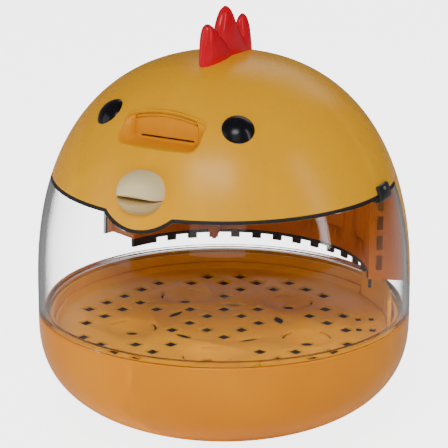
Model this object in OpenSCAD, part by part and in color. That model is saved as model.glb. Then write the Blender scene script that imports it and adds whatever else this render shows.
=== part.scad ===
// Chick-shaped tabletop egg incubator. Millimetres, +Z up.
// The axis of the round body is Z, the chick looks along -Y, and Z = 0 is the surface it stands on.

/* [Body] */
// Largest radius of the round body
body_r = 90; // [75:1:108]
// Height of the base's rim, where the clear window sits
rim_z = 57.5; // [52:0.5:62]
// Height of the dome's lower edge
dome_z = 124.5; // [118:0.5:134]
// Height of the dome's crown
crown_z = 181.5; // [172:0.1:218]
// Height of the bowl's lowest point above the surface
foot_h = 2; // [1:0.25:4]
// Roundness of the bowl's side outline (2 is an ellipse)
bowl_power = 2.65; // [2:0.05:3.2]
// Roundness of the upper body's side outline (2 is an ellipse)
crown_power = 2.35; // [2:0.05:2.8]
// Wall of the coloured shells
shell_wall = 2.6; // [2:0.1:3.4]
// Clearance between pieces that come apart or move
gap = 0.3; // [0.2:0.05:0.5]

/* [Chick face] */
// Radius of the chin's round lower edge
chin_r = 26; // [20:1:34]
// Height of the chin's lowest point below the dome's edge
chin_drop = 6.5; // [3:0.5:9]
// Radius of an eye
eye_r = 7.6; // [5:0.2:10]
// Angle of each eye from the front
eye_angle = 34.9; // [25:0.1:45]
// Height of the eyes above the dome's edge
eye_rise = 36.5; // [28:0.5:42]
// Height that an eye stands proud
eye_dome = 3.2; // [1.5:0.1:5]
// Width of the beak
beak_w = 24.4; // [18:0.2:30]
// Height of the beak
beak_h = 18; // [12:0.2:22]
// Height of the beak's middle above the dome's edge
beak_rise = 9; // [8:0.5:14]
// Depth that the beak stands out of the dome
beak_out = 8; // [5:0.5:9]
// Width of the forehead scoop's opening
scoop_w = 41; // [30:1:44]
// Width of the scoop's back wall
scoop_back_w = 33; // [24:1:36]
// Height of the scoop's floor above the dome's edge
scoop_rise = 27.5; // [22:0.5:32]
// Height of the scoop's opening
scoop_h = 13.3; // [9:0.1:16]
// Thickness of the comb at its foot
comb_t = 10; // [7:0.5:12]
// Height of the comb above the crown
comb_h = 23.3; // [15:0.1:30]
// Length of the comb from front to back
comb_l = 46; // [36:1:52]

/* [Window] */
// Wall of the clear window
window_wall = 2.6; // [2:0.1:4]
// Depth that the window's skirt reaches into the base
skirt_h = 5; // [3:0.5:7]
// Wall of the window's skirt
skirt_wall = 2.3; // [1.6:0.1:3]
// Thickness of the black seal under the dome
seal_t = 1.5; // [0.6:0.1:2]

/* [Base] */
// Radius of the rubber foot ring's outside
foot_ring_r = 30; // [24:1:36]
// Width of the rubber foot ring
foot_ring_w = 6; // [4:0.5:8]
// Width of the liner's upstand around the tray
upstand_w = 1.7; // [1.2:0.1:2.4]
// Depth of the water tub below the tray
tub_depth = 12; // [8:0.5:16]
// Wall of the liner
liner_wall = 2; // [1.6:0.1:3]
// Height of the air baffle above the tray
baffle_h = 16; // [8:1:20]

/* [Tray] */
// Depth of the tray's upper face below the base's rim
tray_drop = 9.5; // [7:0.5:12]
// Thickness of the tray
tray_t = 1.2; // [1:0.1:3]
// Number of egg cups
cup_count = 5; // [3:1:6]
// Radius of the circle of egg cups
cup_ring_r = 45; // [36:1:52]
// Radius of an egg cup's edge
cup_r = 13; // [10:0.5:16]
// Depth of an egg cup
cup_depth = 3.4; // [2:0.2:4]
// Angle of the first egg cup from the front
cup_angle = 18.7; // [0:0.1:72]
// Diagonal of a diamond hole
diamond_w = 9.2; // [4:0.2:12]
// Spacing of the diamond holes across the tray
diamond_x = 8.4; // [8:0.2:14]
// Spacing of the rows of diamond holes
diamond_y = 10; // [9:0.2:14]

/* [Rear housing] */
// Half the angle that the rear housing spans
housing_half = 73; // [55:1:80]
// Height of the housing's lower edge above the base's rim
housing_rise = 16.2; // [14:0.1:24]
// Depth of the housing from the body's skin to its inner face
housing_depth = 20; // [18:0.5:24]
// Wall of the inner housing
duct_wall = 2; // [1.6:0.1:3]
// Width of the control panel
panel_w = 46; // [40:1:52]
// Height of the control panel
panel_h = 22; // [20:1:28]
// Radius of a button
button_r = 3.2; // [2.4:0.1:4]
// Travel of a button
button_travel = 0.8; // [0.4:0.1:1.2]
// Radius of the power socket's bore
socket_r = 2.8; // [2:0.1:3.4]
// Radius of the power socket's centre pin
socket_pin_r = 1; // [0.6:0.1:1.3]

/* [Fan and heater] */
// Side of the fan's square frame
fan_side = 40; // [30:1:50]
// Height of the fan's frame
fan_h = 10; // [8:0.5:15]
// Number of fan blades
blade_count = 7; // [5:1:9]
// Radius of the fan's shaft
shaft_r = 1.5; // [1:0.1:2]
// Radial clearance of the fan's shaft
shaft_gap = 0.05; // [0.02:0.01:0.1]
// Radius of the heater ring's centre line
heater_ring_r = 35; // [32:0.5:42]
// Radius of the heater ring's tube
heater_r = 2.4; // [1.6:0.1:3]

/* [Hidden] */
$fn = 96;

shell_yellow = [0.98, 0.72, 0.11];
base_yellow = [0.95, 0.63, 0.04];
duct_brown = [0.72, 0.42, 0.08];
black = [0.08, 0.08, 0.09];
steel = [0.75, 0.76, 0.78];

// The upper body is straight between these two heights, and curves in below and above them.
rim_lip = 2.5;
straight_h = 10.5;
waist_low = rim_z - rim_lip;
waist_high = rim_z + straight_h;
bowl_depth = waist_low - foot_h;
crown_h = crown_z - waist_high;
outline_steps = 22;

// ---- Outline of the round body. "inset" moves a wall's face inwards from the skin. ----

function bowl_point(turn, inset) =
    [(body_r - inset) * pow(cos(turn), 2 / bowl_power),
     waist_low - (bowl_depth - inset) * pow(sin(turn), 2 / bowl_power)];

function crown_point(turn, inset) =
    [(body_r - inset) * pow(cos(turn), 2 / crown_power),
     waist_high + (crown_h - inset) * pow(sin(turn), 2 / crown_power)];

// Radius of the skin at a height, and height of the crown at a radius.
function skin_r(z, inset = 0) =
    z < waist_low ? (body_r - inset) * pow(1 - pow((waist_low - z) / (bowl_depth - inset), bowl_power), 1 / bowl_power)
    : z < waist_high ? body_r - inset
    : (body_r - inset) * pow(1 - pow((z - waist_high) / (crown_h - inset), crown_power), 1 / crown_power);

function skin_z(r, inset = 0) =
    waist_high + (crown_h - inset) * pow(1 - pow(r / (body_r - inset), crown_power), 1 / crown_power);

function crown_turn(z, inset) = asin(pow((z - waist_high) / (crown_h - inset), crown_power / 2));

function bowl_outline(inset) =
    [for (i = [0:outline_steps]) bowl_point(90 * i / outline_steps, inset)];

function crown_outline(z, inset) =
    let (start = crown_turn(z, inset))
    [for (i = [0:outline_steps]) crown_point(start + (90 - start) * i / outline_steps, inset)];

function band_outline(low, high, inset, steps = 12) =
    [for (i = [0:steps]) let (z = low + (high - low) * i / steps) [skin_r(z, inset), z]];

function reversed(list) = [for (i = [len(list) - 1:-1:0]) list[i]];

// The angle above level of the crown's outward direction at a height.
function skin_tilt(z) = atan2(pow((z - waist_high) / crown_h, crown_power - 1) / crown_h,
    pow(skin_r(z) / body_r, crown_power - 1) / body_r);

// ---- Shared shapes ----

// A ring of wall between two heights of the upper body.
module band(low, high, outer_inset, inner_inset) {
    rotate_extrude()
        polygon(concat(band_outline(low, high, outer_inset), reversed(band_outline(low, high, inner_inset))));
}

// The upper body between two heights as a solid slice.
module slice(low, high, inset) {
    rotate_extrude()
        polygon(concat([[0, low]], band_outline(low, high, inset), [[0, high]]));
}

// The whole upper body as a solid, from a height to the crown.
module crown_solid(low, inset) {
    rotate_extrude()
        polygon(concat([[0, low]], crown_outline(low, inset)));
}

// The part of space behind the body's axis, within an angle each side of the back.
module rear_sector(half_angle, low, high) {
    reach = body_r + 10;
    translate([0, 0, low])
        linear_extrude(high - low)
            polygon([[0, 0], [reach * tan(half_angle), reach], [-reach * tan(half_angle), reach]]);
}

// Everything above the dome's lower edge, with the round chin at the front.
module dome_space(grow) {
    reach = body_r + 10;
    translate([-reach, -reach, dome_z - grow])
        cube([2 * reach, 2 * reach, crown_z]);
    translate([0, 0, dome_z - chin_drop + chin_r])
        rotate([90, 0, 0])
            cylinder(r = chin_r + grow, h = reach);
}

module rounded_rectangle(w, h, r) {
    square([w - 2 * r, h], center = true);
    square([w, h - 2 * r], center = true);
    for (sx = [-1, 1], sy = [-1, 1])
        translate([sx * (w / 2 - r), sy * (h / 2 - r)])
            circle(r);
}

// Places children at an angle from the front, at a radius and height, with their X pointing outwards.
module at_skin(angle, r, z) {
    rotate([0, 0, angle - 90])
        translate([r, 0, z])
            children();
}

// Places children on the crown's skin, with their Z pointing straight out of it and their X pointing down it.
module on_crown(angle, z) {
    rotate([0, 0, angle - 90])
        translate([skin_r(z), 0, z])
            rotate([0, 90 - skin_tilt(z), 0])
                children();
}

// A pan-head screw pointing up, with its head's seat at Z = 0.
module screw(shank_r, shank_l, head_r, head_h) {
    cylinder(r = shank_r, h = shank_l);
    translate([0, 0, -head_h])
        difference() {
            cylinder(r1 = head_r * 0.75, r2 = head_r, h = head_h);
            for (turn = [0, 90])
                rotate([0, 0, turn])
                    translate([-head_r * 0.55, -0.3, -1])
                        cube([head_r * 1.1, 0.6, 1.9]);
        }
}

// ---- Base ----

liner_outer_r = body_r - shell_wall - 0.2;
skirt_outer_r = body_r - shell_wall - gap;
skirt_inner_r = skirt_outer_r - skirt_wall;
upstand_outer_r = skirt_inner_r - 0.4;
upstand_inner_r = upstand_outer_r - upstand_w;
skirt_bottom_z = rim_z - skirt_h;
tray_top_z = rim_z - tray_drop;
tray_bottom_z = tray_top_z - tray_t;
shelf_w = 4.7;
tub_r = upstand_inner_r - shelf_w;
tub_floor_z = tray_bottom_z - tub_depth;
liner_bottom_z = tub_floor_z - liner_wall;
upstand_top_z = rim_z - 1;
flange_top_z = skirt_bottom_z - 0.5;
boss_ring_r = 38;
boss_r = 3.6;
base_screw_r = 1.45;
base_head_r = 3;
base_head_h = 2.2;
boss_seat_z = foot_h + 6;
foot_ring_seat = 1.6;
base_screw_l = 14;

module at_base_bosses() {
    for (turn = [45:90:315])
        rotate([0, 0, turn])
            translate([boss_ring_r, 0, 0])
                children();
}

module base_shell() {
    color(base_yellow)
        difference() {
            union() {
                rotate_extrude()
                    polygon(concat([[body_r - shell_wall, rim_z], [body_r, rim_z]], bowl_outline(0),
                        reversed(bowl_outline(shell_wall))));
                at_base_bosses()
                    translate([0, 0, foot_h + shell_wall])
                        cylinder(r = boss_r, h = liner_bottom_z - foot_h - shell_wall);
            }
            at_base_bosses() {
                translate([0, 0, -1])
                    cylinder(r = base_screw_r + 0.1, h = boss_seat_z + base_screw_l + 2);
                translate([0, 0, -1])
                    cylinder(r = base_head_r + gap, h = boss_seat_z + 1);
            }
            difference() {
                cylinder(r = foot_ring_r + 0.1, h = foot_h + foot_ring_seat);
                translate([0, 0, -1])
                    cylinder(r = foot_ring_r - foot_ring_w - 0.1, h = foot_h + foot_ring_seat + 2);
            }
        }
}

module foot_ring() {
    lip = 0.8;
    top = foot_h + foot_ring_seat;
    color(black)
        rotate_extrude()
            polygon([[foot_ring_r - foot_ring_w, top], [foot_ring_r, top], [foot_ring_r, lip], [foot_ring_r - lip, 0],
                [foot_ring_r - foot_ring_w + lip, 0], [foot_ring_r - foot_ring_w, lip]]);
}

module base_screws() {
    color(steel)
        at_base_bosses()
            translate([0, 0, boss_seat_z])
                screw(base_screw_r, base_screw_l, base_head_r, base_head_h);
}

channel_rib_r = [32, 57];
channel_rib_t = 1.8;
channel_rib_h = tub_depth - cup_depth - tray_t - 1;
post_r = 7;

module base_liner() {
    color(base_yellow)
        union() {
            rotate_extrude()
                polygon([[0, tub_floor_z], [tub_r, tub_floor_z], [tub_r, tray_bottom_z],
                    [upstand_inner_r, tray_bottom_z], [upstand_inner_r, upstand_top_z],
                    [upstand_outer_r, upstand_top_z], [upstand_outer_r, flange_top_z],
                    [liner_outer_r, flange_top_z], [liner_outer_r, flange_top_z - liner_wall],
                    [upstand_outer_r, flange_top_z - liner_wall], [upstand_outer_r, tray_bottom_z - liner_wall],
                    [tub_r + liner_wall, tray_bottom_z - liner_wall], [tub_r + liner_wall, liner_bottom_z],
                    [0, liner_bottom_z]]);
            for (r = channel_rib_r)
                rotate_extrude()
                    translate([r, tub_floor_z - 0.5])
                        square([channel_rib_t, channel_rib_h + 0.5]);
            translate([0, 0, tub_floor_z - 0.5])
                cylinder(r = post_r, h = tub_depth + 0.5);
        }
}

// A curved wall that guides warm air down at one side of the chamber's back.
baffle_from = 108;
baffle_to = 148;
baffle_r = tub_r + 1.6;
baffle_t = 1.8;

module baffle_ring(grow, low, high) {
    rotate([0, 0, baffle_from - 90 - grow])
        translate([0, 0, low])
            rotate_extrude(angle = baffle_to - baffle_from + 2 * grow)
                translate([baffle_r - grow * 0.3, 0])
                    square([baffle_t + grow * 0.6, high - low]);
}

module air_baffle() {
    color(shell_yellow)
        baffle_ring(0, tray_bottom_z, tray_top_z + baffle_h);
}

// ---- Egg tray ----

tray_r = upstand_inner_r - 0.4;
tray_rim_z = skirt_bottom_z - 0.5;
tray_rim_w = 1.5;
tray_margin = 5;
// The radius of the sphere whose cap is an egg cup.
cup_sphere_r = (cup_r * cup_r + cup_depth * cup_depth) / (2 * cup_depth);
cup_slot_r = cup_r - 1.4;
cup_slot_w = 1.3;
cup_hole_r = 3.2;
field_r = tub_r - diamond_w / 2 - 1;
field_inner_r = 12;
cup_clear = cup_r + diamond_w / 2 + 1.2;
almond_ring_r = 27;
almond_r = 10;
almond_half_w = almond_r - 7.6;
almond_clear = diamond_w / 2 + almond_half_w + 1;
vent_slot = [6.5, 3];

function cup_turn(i) = cup_angle + i * 360 / cup_count;
function cup_place(i) = cup_ring_r * [sin(cup_turn(i)), -cos(cup_turn(i))];
function clear_of_cups(p) = min([for (i = [0:cup_count - 1]) norm(p - cup_place(i))]) > cup_clear;
function almond_place(i) = almond_ring_r * [sin(cup_turn(i + 0.5)), -cos(cup_turn(i + 0.5))];
function clear_of_almonds(p) = min([for (i = [0:cup_count - 1]) norm(p - almond_place(i))]) > almond_clear;
function rotated(p, turn) = [p.x * cos(turn) - p.y * sin(turn), p.x * sin(turn) + p.y * cos(turn)];
// The rows of diamonds run square to the line that halves the space between the first two cups.
tray_turn = 28.7;
baffle_mid = (baffle_from + baffle_to) / 2;
function in_vent_field(p) = let (a = atan2(p.x, -p.y)) abs(a - baffle_mid) < 26 && norm(p) > 60;
function in_field(p) = norm(p) < field_r && norm(p) > field_inner_r && clear_of_cups(p) && clear_of_almonds(p)
    && !in_vent_field(p);

module cup_slots() {
    for (i = [0:cup_count - 1], turn = [-60, 60, 180])
        rotate([0, 0, cup_turn(i) - 90])
            translate([cup_ring_r, 0, tray_bottom_z - cup_depth - 2])
                rotate([0, 0, turn - 27])
                    rotate_extrude(angle = 54)
                        translate([cup_slot_r - cup_slot_w / 2, 0])
                            square([cup_slot_w, cup_depth + tray_t + 4]);
}

module diamond_holes() {
    reach = ceil(tray_r / diamond_x);
    rows = ceil(tray_r / diamond_y);
    for (i = [-reach:reach], j = [-rows:rows])
        if ((i + j) % 2 == 0) {
            place = rotated([i * diamond_x, j * diamond_y], tray_turn);
            if (in_field(place))
                translate([place.x, place.y, tray_bottom_z - 1])
                    rotate([0, 0, tray_turn + 45])
                        cube([diamond_w / sqrt(2), diamond_w / sqrt(2), 2 * (tray_t + 2)], center = true);
        }
}

// Two columns of oblong holes beside the baffle feed its warm air under the tray.
module baffle_vents() {
    beside_baffle = 12;
    vent_turns = [-5.5, 7];
    vent_insets = [24, 17.5];
    for (turn = vent_turns, inset = vent_insets)
        at_skin(baffle_mid - beside_baffle + turn, body_r - inset, tray_bottom_z)
            cube([vent_slot.y, vent_slot.x, 3 * tray_t], center = true);
}

// Almond-shaped slots where two neighbouring cups come close, towards the middle.
module almond_slots() {
    for (i = [0:cup_count - 1])
        at_skin(cup_turn(i + 0.5), almond_ring_r, tray_bottom_z - 1)
            intersection() {
                translate([almond_r - almond_half_w, 0, 0])
                    cylinder(r = almond_r, h = tray_t + 2);
                translate([almond_half_w - almond_r, 0, 0])
                    cylinder(r = almond_r, h = tray_t + 2);
            }
}

module egg_tray() {
    color(base_yellow)
        difference() {
            union() {
                rotate_extrude()
                    polygon([[0, tray_bottom_z], [tray_r, tray_bottom_z], [tray_r, tray_rim_z],
                        [tray_r - tray_rim_w, tray_rim_z], [tray_r - tray_rim_w - 1.1, tray_top_z + 1.2],
                        [tray_r - tray_margin, tray_top_z], [0, tray_top_z]]);
                for (i = [0:cup_count - 1])
                    translate([cup_place(i).x, cup_place(i).y, 0])
                        intersection() {
                            translate([0, 0, tray_top_z - cup_depth + cup_sphere_r])
                                sphere(r = cup_sphere_r + tray_t);
                            translate([0, 0, tray_bottom_z - cup_depth - 1])
                                cylinder(r = cup_r + tray_t, h = cup_depth + tray_t);
                        }
            }
            for (i = [0:cup_count - 1])
                translate([cup_place(i).x, cup_place(i).y, tray_top_z - cup_depth + cup_sphere_r]) {
                    sphere(r = cup_sphere_r);
                    translate([0, 0, -cup_sphere_r - 2 * tray_t])
                        cylinder(r = cup_hole_r, h = 4 * tray_t);
                }
            cup_slots();
            diamond_holes();
            almond_slots();
            baffle_vents();
            baffle_ring(1.4, tray_bottom_z - 1, tray_rim_z + 1);
        }
}

// ---- Window and seal ----

housing_z = rim_z + housing_rise;
housing_top_z = dome_z - gap;
seal_angle = seal_t / body_r * 180 / PI;
window_foot_h = 2.5;

module window() {
    color([0.9, 0.93, 0.95, 0.35])
        difference() {
            union() {
                band(rim_z, dome_z, 0, window_wall);
                rotate_extrude()
                    polygon([[skirt_inner_r, skirt_bottom_z], [skirt_outer_r, skirt_bottom_z], [skirt_outer_r, rim_z],
                        [body_r - window_wall + 0.5, rim_z], [body_r - window_wall + 0.5, rim_z + window_foot_h],
                        [skirt_inner_r + 1, rim_z + window_foot_h], [skirt_inner_r, rim_z + window_foot_h - 1]]);
            }
            dome_space(seal_t);
            rear_sector(housing_half, housing_z - gap, dome_z + 1);
            catch_notches();
        }
}

module window_seal() {
    color(black)
        union() {
            difference() {
                intersection() {
                    band(dome_z - chin_drop - 2 * seal_t, dome_z, 0.2, window_wall - 0.2);
                    dome_space(seal_t);
                }
                dome_space(0);
                rear_sector(housing_half, rim_z, dome_z + 1);
                catch_notches();
            }
            intersection() {
                band(housing_z, dome_z - seal_t, 0.2, window_wall - 0.2);
                difference() {
                    rear_sector(housing_half, housing_z, dome_z - seal_t);
                    rear_sector(housing_half - seal_angle, housing_z - 1, dome_z);
                }
            }
        }
}

// ---- Dome and face ----

eye_z = dome_z + eye_rise;
scoop_z = dome_z + scoop_rise;
scoop_corner_r = 5;
scoop_arch_r = 60;
scoop_back_y = 0.8 - skin_r(scoop_z + scoop_h);
scoop_reach = 9;
scoop_slot = [28, 1];
scoop_slot_z = scoop_z + 0.9;
// The dome's outline starts at this height, so that every piece cut to it meets it exactly.
face_low_z = dome_z - chin_drop - 1;
catch_angle = 93;
catch_z = dome_z + 0.2;
catch_w = 12.5;
catch_h = 7.6;
catch_depth = 5;
catch_proud = 1.2;
catch_pin_r = 0.9;
catch_pin_in = 1.8;
ceiling_z = dome_z + 1.5;
ceiling_t = 2;
ceiling_boss_ring_r = 60;
ceiling_boss_r = 3.6;
ceiling_screw_r = 1.4;
peg_r = 2;
peg_y = [-9, 11];

module scoop_outline(grow) {
    intersection() {
        translate([0, scoop_h / 2])
            rounded_rectangle(scoop_w + 2 * grow, scoop_h + 2 * grow, scoop_corner_r + grow);
        translate([0, scoop_h - scoop_arch_r])
            circle(scoop_arch_r + grow);
    }
}

// The scoop's space, which narrows towards its back wall.
module scoop_prism(grow, back_y) {
    length = body_r + 5 + back_y;
    slope = (scoop_w - scoop_back_w) / 2 / scoop_reach;
    back_half = scoop_back_w / 2 + grow;
    intersection() {
        translate([0, back_y, scoop_z])
            rotate([90, 0, 0])
                linear_extrude(length)
                    scoop_outline(grow);
        translate([0, back_y, scoop_z - 2 * shell_wall])
            linear_extrude(scoop_h + 4 * shell_wall)
                polygon([[-back_half, 0], [back_half, 0], [back_half + slope * length, -length],
                    [-back_half - slope * length, -length]]);
    }
}

module at_eye(side) {
    on_crown(side * eye_angle, eye_z)
        children();
}

module at_ceiling_screws() {
    for (turn = [45:90:315])
        rotate([0, 0, turn])
            translate([ceiling_boss_ring_r, 0, 0])
                children();
}

module catch_block(side, grow, proud) {
    on_crown(side * catch_angle, catch_z)
        translate([-catch_h / 2 - grow, -catch_w / 2 - grow, -catch_depth - grow])
            cube([catch_h + 2 * grow, catch_w + 2 * grow, catch_depth + grow + proud]);
}

module catch_notches() {
    for (side = [-1, 1])
        catch_block(side, gap, 10);
}

module at_catch_pin(side) {
    on_crown(side * catch_angle, catch_z)
        translate([2.2 - catch_h / 2, 0, catch_proud - catch_pin_in])
            children();
}

module dome_shell() {
    color(shell_yellow)
        difference() {
            union() {
                intersection() {
                    difference() {
                        crown_solid(face_low_z, 0);
                        translate([0, 0, -0.01])
                            crown_solid(face_low_z, shell_wall);
                    }
                    dome_space(0);
                }
                intersection() {
                    crown_solid(dome_z, 1);
                    scoop_prism(shell_wall, scoop_back_y + shell_wall);
                }
                intersection() {
                    crown_solid(dome_z, 1);
                    at_ceiling_screws()
                        translate([0, 0, ceiling_z + ceiling_t])
                            cylinder(r = ceiling_boss_r, h = crown_h);
                }
            }
            scoop_prism(0, scoop_back_y);
            translate([-scoop_slot.x / 2, scoop_back_y - 1, scoop_slot_z])
                cube([scoop_slot.x, shell_wall + 2, scoop_slot.y]);
            for (side = [-1, 1])
                at_eye(side)
                    translate([0, 0, -8])
                        cylinder(r = eye_r + 0.15, h = 12);
            for (y = peg_y)
                translate([0, y, crown_z - 14])
                    cylinder(r = peg_r + 0.1, h = 16);
            at_ceiling_screws()
                translate([0, 0, ceiling_z])
                    cylinder(r = ceiling_screw_r + 0.1, h = 14);
            catch_notches();
        }
}

// One flame-shaped lobe of the comb: a rounded tip above shoulders and a foot from front to back.
module comb_lobe(tip, tip_r, foot_front, foot_back, foot_r) {
    shoulder_r = (tip_r + foot_r) / 2;
    shoulder_z = crown_z + (tip.y - crown_z) * 0.52;
    hull() {
        translate([0, tip.x, tip.y - tip_r])
            sphere(r = tip_r, $fn = 32);
        for (y = [tip.x * 0.55 + foot_front * 0.45 + shoulder_r * 0.3, tip.x * 0.6 + foot_back * 0.4 - shoulder_r * 0.3])
            translate([0, y, shoulder_z])
                sphere(r = shoulder_r, $fn = 32);
        for (y = [foot_front + foot_r, foot_back - foot_r])
            translate([0, y, skin_z(abs(y)) + 1])
                sphere(r = foot_r, $fn = 32);
    }
}

module comb() {
    front = -comb_l * 0.46;
    back = comb_l * 0.54;
    color([0.86, 0.05, 0.12])
        union() {
            difference() {
                union() {
                    comb_lobe([front + 6, crown_z + comb_h * 0.76], 2.4, front, 8, comb_t / 2);
                    comb_lobe([1.3, crown_z + comb_h], 2.4, -11, 18, comb_t * 0.45);
                    comb_lobe([back - 7, crown_z + comb_h * 0.71], 2.2, 9, back, comb_t * 0.4);
                }
                crown_solid(face_low_z, 0);
            }
            for (y = peg_y)
                translate([0, y, skin_z(abs(y)) - shell_wall - 1])
                    cylinder(r = peg_r, h = shell_wall + 4);
        }
}

module eye(side) {
    // The cap is a slice of a sphere on a short plug that fills the hole in the dome.
    cap_r = (eye_r * eye_r + eye_dome * eye_dome) / (2 * eye_dome);
    plug_top = -0.4;
    color(black)
        at_eye(side)
            union() {
                translate([0, 0, plug_top - shell_wall])
                    cylinder(r = eye_r, h = shell_wall);
                intersection() {
                    translate([0, 0, plug_top + eye_dome - cap_r])
                        sphere(r = cap_r);
                    translate([0, 0, plug_top])
                        cylinder(r = eye_r, h = eye_dome + 1);
                }
            }
}

module eye_left() { eye(1); }
module eye_right() { eye(-1); }

beak_z = dome_z + beak_rise;
beak_split_z = beak_z - 1.5;
beak_split = 0.5;
beak_depth = 11;

module beak_body(low, high, scale_w) {
    color([0.93, 0.87, 0.74])
        difference() {
            intersection() {
                translate([0, -skin_r(beak_z) - beak_out + beak_depth, beak_z])
                    scale([beak_w / 2 * scale_w, beak_depth, beak_h / 2])
                        sphere(r = 1);
                translate([-beak_w, -body_r - beak_out, low])
                    cube([2 * beak_w, body_r, high - low]);
            }
            crown_solid(face_low_z, 0);
        }
}

module beak_upper() { beak_body(beak_split_z + beak_split / 2, beak_z + beak_h, 1); }
module beak_lower() { beak_body(beak_z - beak_h, beak_split_z - beak_split / 2, 0.97); }

// ---- Catches at the dome's sides ----

module catch(side) {
    color(black)
        difference() {
            catch_block(side, 0, catch_proud);
            at_catch_pin(side)
                cylinder(r = catch_pin_r + 0.1, h = catch_pin_in + 1);
        }
}

module catch_pin(side) {
    color(steel)
        at_catch_pin(side)
            cylinder(r = catch_pin_r, h = catch_pin_in + 0.4);
}

module catch_left() { catch(1); }
module catch_right() { catch(-1); }
module catch_pin_left() { catch_pin(1); }
module catch_pin_right() { catch_pin(-1); }

// ---- Ceiling, fan and heater ----

fan_bore_r = fan_side / 2 - 1.2;
fan_z = ceiling_z + ceiling_t;
fan_hub_r = fan_side * 0.24;
ceiling_head_r = 2.8;
ceiling_head_h = 1.8;
ceiling_screw_l = 11;

module ceiling_plate() {
    color(duct_brown)
        difference() {
            slice(ceiling_z, ceiling_z + ceiling_t, shell_wall + 0.2);
            translate([0, 0, ceiling_z - 1])
                cylinder(r = fan_bore_r, h = ceiling_t + 2);
            at_ceiling_screws()
                translate([0, 0, ceiling_z - 1])
                    cylinder(r = ceiling_screw_r + 0.3, h = ceiling_t + 2);
            for (turn = [0:30:330])
                rotate([0, 0, turn])
                    translate([heater_ring_r + 10, -1.5, ceiling_z - 1])
                        cube([12, 3, ceiling_t + 2]);
            catch_notches();
        }
}

module ceiling_screws() {
    color(steel)
        at_ceiling_screws()
            translate([0, 0, ceiling_z])
                screw(ceiling_screw_r, ceiling_screw_l, ceiling_head_r, ceiling_head_h);
}

module fan_frame() {
    spoke_h = 1.6;
    color([0.16, 0.16, 0.17])
        union() {
            difference() {
                translate([-fan_side / 2, -fan_side / 2, fan_z])
                    cube([fan_side, fan_side, fan_h]);
                translate([0, 0, fan_z - 1])
                    cylinder(r = fan_bore_r, h = fan_h + 2);
                for (sx = [-1, 1], sy = [-1, 1])
                    translate([sx * (fan_side / 2 - 4), sy * (fan_side / 2 - 4), fan_z - 1])
                        cylinder(r = 1.7, h = fan_h + 2);
            }
            for (turn = [30:120:270])
                rotate([0, 0, turn])
                    translate([0, -1.2, fan_z + fan_h - spoke_h])
                        cube([fan_bore_r + 0.6, 2.4, spoke_h]);
            translate([0, 0, fan_z + fan_h - spoke_h])
                cylinder(r = fan_hub_r, h = spoke_h);
        }
}

rotor_low_z = fan_z + 0.8;
rotor_high_z = fan_z + fan_h - 1.6 - 0.5;

module fan_shaft() {
    color(steel)
        translate([0, 0, rotor_low_z + 1])
            cylinder(r = shaft_r, h = fan_z + fan_h - 1.6 - rotor_low_z - 1);
}

module fan_rotor() {
    blade_t = 0.9;
    blade_tip_r = fan_bore_r - 0.8;
    color([0.2, 0.2, 0.21])
        difference() {
            union() {
                translate([0, 0, rotor_low_z])
                    cylinder(r = fan_hub_r, h = rotor_high_z - rotor_low_z);
                intersection() {
                    for (i = [0:blade_count - 1])
                        rotate([0, 0, i * 360 / blade_count])
                            translate([0, 0, (rotor_low_z + rotor_high_z) / 2])
                                rotate([38, 0, 0])
                                    translate([fan_hub_r - 1, -fan_h / 2, -blade_t / 2])
                                        cube([fan_side / 2, fan_h, blade_t]);
                    translate([0, 0, rotor_low_z + 0.3])
                        cylinder(r = blade_tip_r, h = rotor_high_z - rotor_low_z - 0.6);
                }
            }
            translate([0, 0, rotor_low_z + 0.7])
                cylinder(r = shaft_r + shaft_gap, h = fan_h);
        }
}

module heater_ring() {
    color([0.55, 0.35, 0.25])
        rotate_extrude()
            translate([heater_ring_r, fan_z + heater_r + 1.5])
                circle(r = heater_r);
}

module heater_clips() {
    clip_h = 1.5 + 1.8 * heater_r;
    color([0.9, 0.9, 0.86])
        for (turn = [0:90:270])
            rotate([0, 0, turn])
                difference() {
                    translate([heater_ring_r - heater_r - 1.5, -2.5, fan_z])
                        cube([2 * heater_r + 3, 5, clip_h]);
                    rotate_extrude()
                        translate([heater_ring_r, fan_z + heater_r + 1.5])
                            circle(r = heater_r + 0.05);
                }
}

// ---- Rear housing ----

cover_wall = 2.4;
duct_inner_r = body_r - housing_depth;
duct_outer_inset = cover_wall + 0.4;
duct_half = housing_half - 3;
duct_above = 1;
panel_face_y = skin_r(housing_z + 8.3 + panel_h) * cos(asin(panel_w / 2 / body_r)) - 0.3;
panel_z = housing_z + 9.3 + panel_h / 2;
bezel_wall = 1.8;
plate_t = 2.8;
socket_angle = 206;
socket_z = housing_z + 13;
socket_out_r = 5;
socket_flange_r = 6.4;
slot_w = 3;
slot_h = 7.3;
slot_step = 9.9;
slot_count = 4;

module panel_block(grow, low_y, high_y) {
    translate([0, high_y, panel_z])
        rotate([90, 0, 0])
            linear_extrude(high_y - low_y)
                rounded_rectangle(panel_w + 2 * grow, panel_h + 2 * grow, 2.4 + max(grow, 0));
}

// Places children on the power socket's axis: Z = 0 at the skin, pointing out.
module at_socket() {
    at_skin(socket_angle, skin_r(socket_z), socket_z)
        rotate([0, 90, 0])
            children();
}

module rear_cover() {
    color(shell_yellow)
        difference() {
            intersection() {
                band(housing_z, housing_top_z, 0, cover_wall);
                rear_sector(housing_half - seal_angle, housing_z, housing_top_z);
            }
            panel_block(bezel_wall + 0.1, body_r * 0.5, body_r + 5);
            at_socket() {
                translate([0, 0, -10])
                    cylinder(r = socket_out_r + 0.1, h = 20);
                translate([0, 0, 0.1])
                    cylinder(r = socket_flange_r + 0.1, h = 5);
            }
        }
}

// Shallow rounded panels on the inner face, given by their angles from the front.
duct_panels = [[129, 142], [150, 176], [184, 210], [218, 231]];
panel_low_z = housing_z + 10;
panel_high_z = dome_z - 8;

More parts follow.
